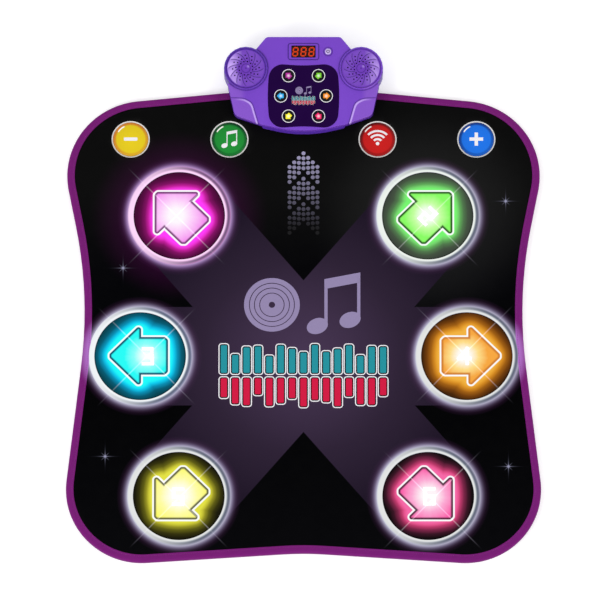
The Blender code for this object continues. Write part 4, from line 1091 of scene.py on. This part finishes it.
def make_pads(materials):
    profile = shouldered(WINDOW_RADIUS, CROWN, 14 * MM, 0.85 * MM, ((0.6, 0.95), (0, 1.3)))
    profile += [(WINDOW_RADIUS, SEAT), (0, SEAT)]
    for number, degrees, shift in PADS:
        centre = PAD_CENTRES[number]
        outline = arrow_loop(degrees, centre=turned([(shift, 0.0)], degrees)[0])
        arrow = prism("arrow", [outline], CROWN - 0.4 * MM, CROWN + 0.5 * MM, 0.3 * MM)
        name, body = f"lit_pad_{number}", f"pad_{number}"
        mesh = joined(name, [lathe("disc", profile, 128), arrow])
        glass = lit_window(number, degrees, shift)
        new_piece(name, mesh, body, glass, centre, [f"pad_window_{number}"])
        name = f"lit_ring_{number}"
        mesh = lathe(name, ring_profile(), 128)
        new_piece(name, mesh, "mat", lit_ring(number), centre, [f"pad_ring_{number}"])
        if number in PAD_FIGURES:
            loops, low = figure_loops(number), CROWN + 0.48 * MM
            stacked(f"pad_figure_{number}", loops, low, materials["white_light"], body, centre)


def plus_loop(reach, half):
    points = [(reach, -half), (reach, half), (half, half)]
    return [p for turn in (0, 90, 180, 270) for p in turned(points, turn)]


def arc_loop(radius, half, start, end, centre=(0.0, 0.0)):
    turns = [math.radians(start + (end - start) * k / 14) for k in range(15)]
    line = [(radius + half, a) for a in turns] + [(radius - half, a) for a in reversed(turns)]
    return [(centre[0] + r * math.cos(a), centre[1] + r * math.sin(a)) for r, a in line]


def ellipse(width, length, degrees, centre):
    return turned([(x * width, y * length) for x, y in circle(1.0, steps=32)], degrees, centre)


def note_shapes(scale):
    """Two beamed notes, 100 scales tall and centred on the origin, as outlines that overlap."""
    heads = [ellipse(17, 12.5, 22, centre) for centre in ((-26, -36), (25, -26))]
    stems = [[(-15, -36), (-10, -36), (-10, 38), (-15, 37)], [(36, -26), (41, -26), (41, 48), (36, 47)]]
    beam = [(-15, 24), (41, 35), (41, 51), (-15, 40)]
    return placed([*heads, *stems, beam], scale)


def thin_print(name, loops, low, material, body="mat", place=None, thick=INK):
    """A layer of ink as a piece of its own."""
    return new_piece(name, prism(name, loops, low, low + thick), body, material, place)


def stacked(name, shapes, low, material, body="mat", place=None):
    """Flat overlapping shapes in one ink, each a hair higher than the last so that no two share a face."""
    meshes = [prism(name, [loop], low, low + INK * (1 + 0.12 * k)) for k, loop in enumerate(shapes)]
    return new_piece(name, joined(name, meshes), body, material, place)


def button_signs():
    """The sign on each round button: minus, notes, waves and plus."""
    source = (0.0, -9 * MM)
    waves = [arc_loop(radius * MM, 2 * MM, a, 180 - a, source) for radius, a in ((9, 40), (17, 42), (25, 44))]
    return {
        "volume_down": [rounded_box(26 * MM, 6.5 * MM, 2 * MM)],
        "mode": note_shapes(0.36 * MM),
        "wireless": [*waves, circle(3.4 * MM, source, 24)],
        "volume_up": [plus_loop(13 * MM, 3.25 * MM)],
    }


def make_buttons(materials):
    stem, foot = 20 * MM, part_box("mode_button")[0].z
    profile = shouldered(BUTTON_RADIUS, CROWN, 6 * MM, 1.15 * MM, ((0.3, 1.3), (0, 1.7)))
    profile += [(BUTTON_RADIUS, SEAT), (stem, SEAT), (stem, foot), (0, foot)]
    signs = button_signs()
    for name, (colour, rim, slot) in BUTTONS.items():
        centre, body, cap = BUTTON_CENTRES[name], f"{name}_key", f"{name}_cap"
        skin = domed_cap(cap, ink(*colour), ink(*rim))
        new_piece(cap, lathe(cap, profile), body, skin, centre, [f"{name}_button"])
        stacked(f"{name}_sign", signs[name], CROWN - 0.01 * MM, materials["white_ink"], body, centre)


# Print in the middle of the mat and on the console

def motif(prefix, materials, scale=1.0, centre=(0.0, 0.0), low=MAT_TOP, place=None):
    """A record, two beamed notes, and rows of level bars in two colours with a dark and a pale outline."""
    record = [circle(r * MM, (-60 * MM, 40 * MM)) for r in (53, 43.5, 42, 34, 32.5, 24, 22.5, 6)]
    thin_print(f"{prefix}_record", placed(record, scale, centre), low, materials["lavender"], place=place)
    notes = placed(note_shapes(1.22 * MM), shift=(58 * MM, 42 * MM))
    stacked(f"{prefix}_notes", placed(notes, scale, centre), low, materials["lavender"], place=place)
    step, width, middle, gap = 21.6 * MM, 12 * MM, -100 * MM, 5.5 * MM
    for row, phase, ink_name in ((1, 0.4, "teal"), (-1, 1.5, "crimson")):
        lengths = [(k, (30 + 25 * abs(math.sin(k * 1.15 + phase))) * MM) for k in range(-7, 8)]
        bars = [(length, (k * step, middle + row * (gap + length / 2))) for k, length in lengths]
        layers = (("white_ink", 4.2 * MM), ("black_ink", 2.3 * MM), (ink_name, 0.0))
        for layer, (colour, grow) in enumerate(layers):
            round_by, more = 2.2 * MM + grow, 2 * grow
            loops = [rounded_box(width + more, length + more, round_by, at) for length, at in bars]
            name, lift = f"{prefix}_{ink_name}_bars_{layer + 1}", low + layer * INK
            thin_print(name, placed(loops, scale, centre), lift, materials[colour], place=place)


def chevron_dots():
    """Dotted chevrons that fade out towards the middle of the mat."""
    loops = [
        circle(3.8 * MM, (8.83 * MM * i, (340.5 - 9 * abs(i) - 50.5 * group - 9.9 * k) * MM), 20)
        for i in range(-3, 4)
        for group in range(3)
        for k in range(4)
    ]
    paint = Paint("fading_dots", roughness=0.45, specular=0.2)
    paint.bump(paint.noise(0.5, 2), 0.01 * MM)
    fade = paint.y.ramp(190, 345, gentle=False).maths("POWER", 1.5)
    thin_print("chevron_dots", loops, MAT_TOP, paint.coloured(fade, ink(12, 11, 14), ink(152, 147, 178)))


def pointed_bar(start, end, half):
    """A bar that comes to a point at both ends."""
    start, end = Vector(start), Vector(end)
    ahead = (end - start).normalized() * half
    aside = left_of(ahead)
    near, far = start + ahead, end - ahead
    return [start, near - aside, far - aside, end, far + aside, near + aside]


def segments(width, height, thick, slant):
    """The seven bars of one figure 8."""
    gap, half = 0.35 * MM, thick / 2
    across, up = width / 2 - half, height / 2 - half
    flat = [((gap - across, y), (across - gap, y)) for y in (-up, 0.0, up)]
    upright = [((x, low + gap), (x, low + up - gap)) for x in (-across, across) for low in (-up, 0.0)]
    return [[(x + y * slant, y) for x, y in pointed_bar(*ends, half)] for ends in flat + upright]


def on_face(x, y, z=0.0):
    return FACE @ Matrix.Translation((x, y, z))


def make_console_print(materials):
    directions = {number: degrees for number, degrees, _ in PADS}
    rim, groove, disc = (circle(radius * MM, steps=64) for radius in (12.6, 11.3, 11.2))
    white, black = materials["white_ink"], materials["black_ink"]
    for number, x, y in INDICATORS:
        place = on_face(x, PANEL_Y + y)
        arrow = arrow_loop(directions[number], INDICATOR_SCALE)
        thin_print(f"indicator_ring_{number}", [rim, groove], 0.0, white, place=place, thick=1.5 * INK)
        thin_print(f"indicator_disc_{number}", [disc], 0.0, black, place=place)
        thin_print(f"indicator_sign_{number}", [arrow], INK, materials[f"indicator_{number}"], place=place)
    motif("panel", materials, 0.137, (0.0, 5.0 * MM), 0.0, on_face(0.0, PANEL_Y))
    figure = segments(*DIGIT_SIZE, 2.5 * MM, 0.11)
    bars = [bar for k in (-1, 0, 1) for bar in placed(figure, shift=(k * DIGIT_PITCH, 0.0))]
    digits = materials["digits"]
    thin_print("display_digits", bars, -2.46 * MM, digits, place=on_face(*DISPLAY), thick=2 * INK)
    symbol = [arc_loop(2.7 * MM, 0.55 * MM, 122, 418)]
    symbol.append([(x * MM, y * MM) for x, y in ((-0.5, 0.5), (0.5, 0.5), (0.5, 3.5), (-0.5, 3.5))])
    thin_print("power_symbol", symbol, 2.0 * MM, black, "power_key", on_face(*POWER))


# The CAD pieces that show as they are

def rim_shade(x, y):
    """How dark a pod's rim is: most at the far left and towards the rear."""
    return (x * -0.0032 + (y - POD_Y / MM) * 0.006 + 0.45).clamped(0.95)


def face_terms(paint):
    """The place on the console's own tilted face, in millimetres."""
    return [paint.x * a + paint.y * b + paint.z * c + d / MM for a, b, c, d in FACE.inverted()[:3]]


# A sunken wing's front, slanting and steep sides, in millimetres on the face: where each starts and its run
WING_SIDES = (((112.0, 59.5), (58, 2)), ((97.0, 50.0), (15, 9.5)), ((97.0, 50.0), (18, 62)))
# Radii of a pod's rim and of the power button's collar, in millimetres
POD_RIM = 42.2
POWER_COLLAR = 8.2
# The line of painted shade round the display, in millimetres: half its straight sides, and the radius of its
# corners
BEZEL_ACROSS, BEZEL_ALONG, BEZEL_ROUND = 24.75, 11.15, 4.3


def wing_depth(x, y):
    """How far a place is inside the three sides of a wing, whose corners are rounded off."""
    depths = []
    for start, run in WING_SIDES:
        length = math.hypot(*run)
        depths.append((x - start[0]) * (run[1] / length) - (y - start[1]) * (run[0] / length))
    return reduce(lambda one, two: one.maths("SMOOTH_MIN", two, 7.0), depths)


def console_shell():
    """Purple plastic whose sunken wings are paler, with a painted highlight inside their edges and painted
    shade in its creases, round its pods, bezel and power button and on its side and rear walls.
    """
    paint, colour = purple_plastic("console_shell", ink(108, 58, 182), ink(120, 70, 198))
    x, y, z = face_terms(paint)
    side = x.abs()
    depth = wing_depth(side, y)
    wing = depth.ramp(-0.4, 0.8)
    # A painted highlight just inside the edges of the sunken wings, fading towards the sides
    wing_highlight = depth.ramp(0.8, 2.2) * depth.ramp(5.6, 3.6) * side.ramp(136.0, 100.0)
    ledge = side.ramp(108.0, 122.0) * y.ramp(92.0, 84.0)
    colour = paint.mix(wing.max(ledge) * 0.9, colour, ink(128, 80, 192))
    colour = paint.mix(wing_highlight * 0.85, colour, ink(196, 166, 240))
    pod = paint.distance(side - POD_X / MM, y - POD_Y / MM)
    colour = paint.mix(pod.ramp(POD_RIM + 0.2, POD_RIM - 0.4) * rim_shade(x, y), colour, POD_SHADE)
    button = paint.distance(x - POWER[0] / MM, y - POWER[1] / MM)
    above = (y - DISPLAY[1] / MM).abs()
    bezel = paint.distance((side - BEZEL_ACROSS).max(0.0), (above - BEZEL_ALONG).max(0.0))
    # Painted shade: dark lines at the wings' edges, round the pods, the power button's collar and the bezel,
    # and on the walls below the face
    creases = reduce(Term.max, (
        depth.line(0.1, 1.3, 0.2) * 0.6,
        pod.ramp(POD_RIM - 3.0, POD_RIM - 4.0) * 0.4,
        pod.line(POD_RIM, 1.8, 0.4) * 0.5,
        button.line(POWER_COLLAR, 1.4, 0.4) * 0.6,
        bezel.line(BEZEL_ROUND, 1.6, 0.4) * 0.85,
        z.ramp(-1.35, -2.3) * y.ramp(10.0, 40.0) * 0.9,
    ))
    return paint.coloured(creases, colour, ink(56, 24, 118))


# Radii on a grille's face, in millimetres
GRILLE_HUB = 8.2
GRILLE_RIM = 35.0


def speaker_grille(name, centre):
    """Purple plastic with twelve curved flutes between the rows of holes, dark with painted shade, and
    painted light across the petals between them, mirrored from side to side.
    """
    paint, colour = purple_plastic(name, ink(100, 50, 170), ink(112, 62, 186))
    face_x, face_y, _ = face_terms(paint)
    outward = math.copysign(1.0, centre[0])
    across, y = face_x - centre[0] / MM, face_y - centre[1] / MM
    x = across * outward
    far = paint.distance(x, y)
    turn = y.maths("ARCTAN2", x * -1.0) - far * GRILLE_TWIST + GRILLE_PHASE
    flute = (turn * (GRILLE_ROWS / FULL_TURN) + GRILLE_ROWS).maths("FRACT")
    off = (flute - 0.5).abs() * far * (FULL_TURN / GRILLE_ROWS)
    groove = off.ramp(1.3, 0.5) * far.ramp(11.5, 14.0) * far.ramp(GRILLE_RIM, GRILLE_RIM - 3.0)
    # Painted light across each petal between the flutes, strongest on the grille's outer side
    petal_light = ((flute + 0.5).maths("FRACT") * 0.5 + 0.5) * far.ramp(14.0, 22.0)
    petal_light = petal_light * far.ramp(GRILLE_RIM + 0.4, GRILLE_RIM - 0.4)
    lit = (x * 0.045 - 0.3).clamped() * (0.95 if outward < 0 else 0.6) + 0.06
    colour = paint.mix(petal_light * lit, colour, ink(200, 168, 244))
    edge = far.ramp(GRILLE_RIM, GRILLE_RIM + 0.8)
    colour = paint.mix(edge * rim_shade(face_x, face_y), colour, POD_SHADE)
    glint = paint.distance(across - 4.5, y - 3.5).ramp(4.0, 1.0)
    colour = paint.mix(glint * 0.35, colour, ink(190, 160, 236))
    # Painted shade in the flutes, round the hub and in the middle; the bump of the flutes is their real shape
    creases = (groove * 0.75).max(far.line(GRILLE_HUB, 1.4, 0.3) * 0.5).max(far.ramp(2.4, 1.0) * 0.6)
    paint.bump(groove * -1.0, 0.5 * MM)
    return paint.coloured(creases, colour, ink(58, 26, 118))


def dark_glass():
    paint = Paint("display_glass", roughness=0.12, specular=0.5, Alpha=0.5)
    paint.bump(paint.noise(0.2, 1), 0.005 * MM)
    return paint.coloured(paint.noise(0.1, 2), ink(36, 8, 10), ink(48, 12, 14))


def dress(node, material):
    """Gives a CAD piece its material and smooths the shading of its curved walls."""
    piece = nodes[node]
    mesh = piece.data
    mesh.materials.clear()
    mesh.materials.append(material)
    mesh.polygons.foreach_set("use_smooth", [True] * len(mesh.polygons))
    welded(piece)
    piece.modifiers.new("creases", "EDGE_SPLIT").split_angle = math.radians(28)


def dress_console(materials):
    dress("console_cover", console_shell())
    # A darker copy of the shell's purple, painted shade for the lower shell and its front lip; the battery
    # door shares it
    paint, colour = purple_plastic("console_lower_shell", ink(74, 34, 146), ink(84, 42, 160))
    lower = paint.set(Base_Color=colour)
    dress("console_base", lower)
    dress("battery_door", lower)
    for side, centre in zip(("left", "right"), PODS):
        dress(f"{side}_speaker_grille", speaker_grille(f"{side}_grille", centre))
        dress(f"{side}_speaker_driver", materials["cone"])
    panel = moulded("panel_print", ink(26, 1, 53), ink(30, 3, 58), roughness=0.35, specular=0.05, grain=0.01)
    dress("panel_overlay", panel)
    dress("display_window", dark_glass())
    dress("display_module", moulded("digit_module", ink(62, 14, 18), roughness=0.6))
    dress("power_button", moulded("power_cap", ink(200, 182, 230), ink(176, 154, 214), roughness=0.3))
    dress("indicator_light_guide", moulded("light_guide", ink(206, 214, 220), roughness=0.2))


def dress_rest():
    dark = moulded("clamp_plastic", ink(30, 30, 33), roughness=0.5, grain=0.05)
    screws = [f"{end}_{side}_screw" for end in ("front", "rear") for side in ("left", "right")]
    contacts = [f"{side}_battery_contact" for side in ("left", "right")]
    for material, names in (
        (film(), ("contact_film", "ribbon_tail")),
        (circuit_board(), ("main_board", *(f"pad_lamp_board_{number}" for number in PAD_CENTRES))),
        (dark, ("clamp_plate",)),
        (steel(), (*screws, *contacts)),
        (cell_jacket(), ("battery_1", "battery_2", "battery_3")),
    ):
        for name in names:
            dress(name, material)


# Stage

def make_light(name, place, aim, size, power):
    lamp = bpy.data.lights.new(name, "AREA")
    lamp.shape, lamp.size, lamp.energy = "DISK", size, power
    holder = added(name, lamp)
    holder.location = place
    holder.rotation_euler = (Vector(place) - Vector(aim)).to_track_quat("Z", "Y").to_euler()


def make_floor():
    """A plain pale floor that is seen only from above."""
    mesh = bpy.data.meshes.new("floor")
    mesh.from_pydata([(-9, -9, 0), (9, -9, 0), (9, 9, 0), (-9, 9, 0)], [], [(0, 1, 2, 3)])
    paint = Paint("floor", roughness=0.8, specular=0.0, glow=0.42)
    paint.glow(WHITE)
    paint.set(Alpha=1.0 - made(paint.tree, "NewGeometry", {}, "Backfacing"))
    mesh.materials.append(paint.coloured(paint.noise(0.004, 2), (0.7, 0.7, 0.7), (0.74, 0.74, 0.74)))
    floor = added("floor", mesh)


def make_world():
    """Even light from all round, less from straight above."""
    world = bpy.data.worlds.new("studio")
    world.use_nodes = True
    bpy.context.scene.world = world
    tree = world.node_tree
    height = made(tree, "SeparateXYZ", {0: made(tree, "TexCoord", {}, "Generated")}, "Z")
    background = tree.nodes["Background"]
    feed(tree, background.inputs["Strength"], height.ramp(0.95, 0.6) * 0.85 + 0.35)
    feed(tree, background.inputs["Color"], WHITE)


def make_stage():
    make_floor()
    make_world()
    make_light("key", (-2.6, -2.2, 2.6), (0, 0, 0), 1.6, 60)
    make_light("fill", (3.0, -1.2, 2.4), (0, 0, 0), 1.8, 30)
    camera = bpy.data.cameras.new("camera")
    camera.lens, camera.sensor_width, camera.clip_end = 1200, 36, 100
    eye = added("camera", camera)
    aim, away, height = Vector((-0.00665, 0.0495, 0.0127)), 38.01, math.radians(73.74)
    eye.location = aim + away * Vector((0, -math.cos(height), math.sin(height)))
    eye.rotation_euler = (math.radians(90) - height, 0, 0)
    bpy.context.scene.camera = eye
    bpy.context.scene.view_settings.view_transform = "Standard"


def main():
    materials = {
        "print": printed_vinyl(),
        "tape": woven_tape(),
        "thread": thread(),
        "grip": grip_cloth(),
        "rubber": moulded("grip_rubber", ink(40, 40, 44), roughness=0.7),
        "foam": foam(),
        "cone": speaker_cone(),
        "white_light": printed("white_light", ink(226, 228, 228), glow=0.5),
        "white_ink": printed("white_ink", ink(234, 232, 236)),
        "black_ink": printed("black_ink", ink(10, 9, 14)),
        "lavender": printed("lavender_ink", ink(141, 128, 166)),
        "teal": printed("teal_ink", ink(26, 138, 150)),
        "crimson": printed("crimson_ink", ink(200, 10, 60)),
        "digits": printed("lit_digits", ink(255, 74, 8), glow=2.6),
    }
    for number, colour in INDICATOR_INKS.items():
        materials[f"indicator_{number}"] = lit_sign(f"indicator_{number}", ink(*colour))
    make_cover(materials)
    make_binding(materials)
    make_grip(materials)
    make_foams(materials)
    make_pads(materials)
    make_buttons(materials)
    motif("mat", materials)
    chevron_dots()
    make_console_print(materials)
    dress_console(materials)
    dress_rest()
    make_stage()


main()
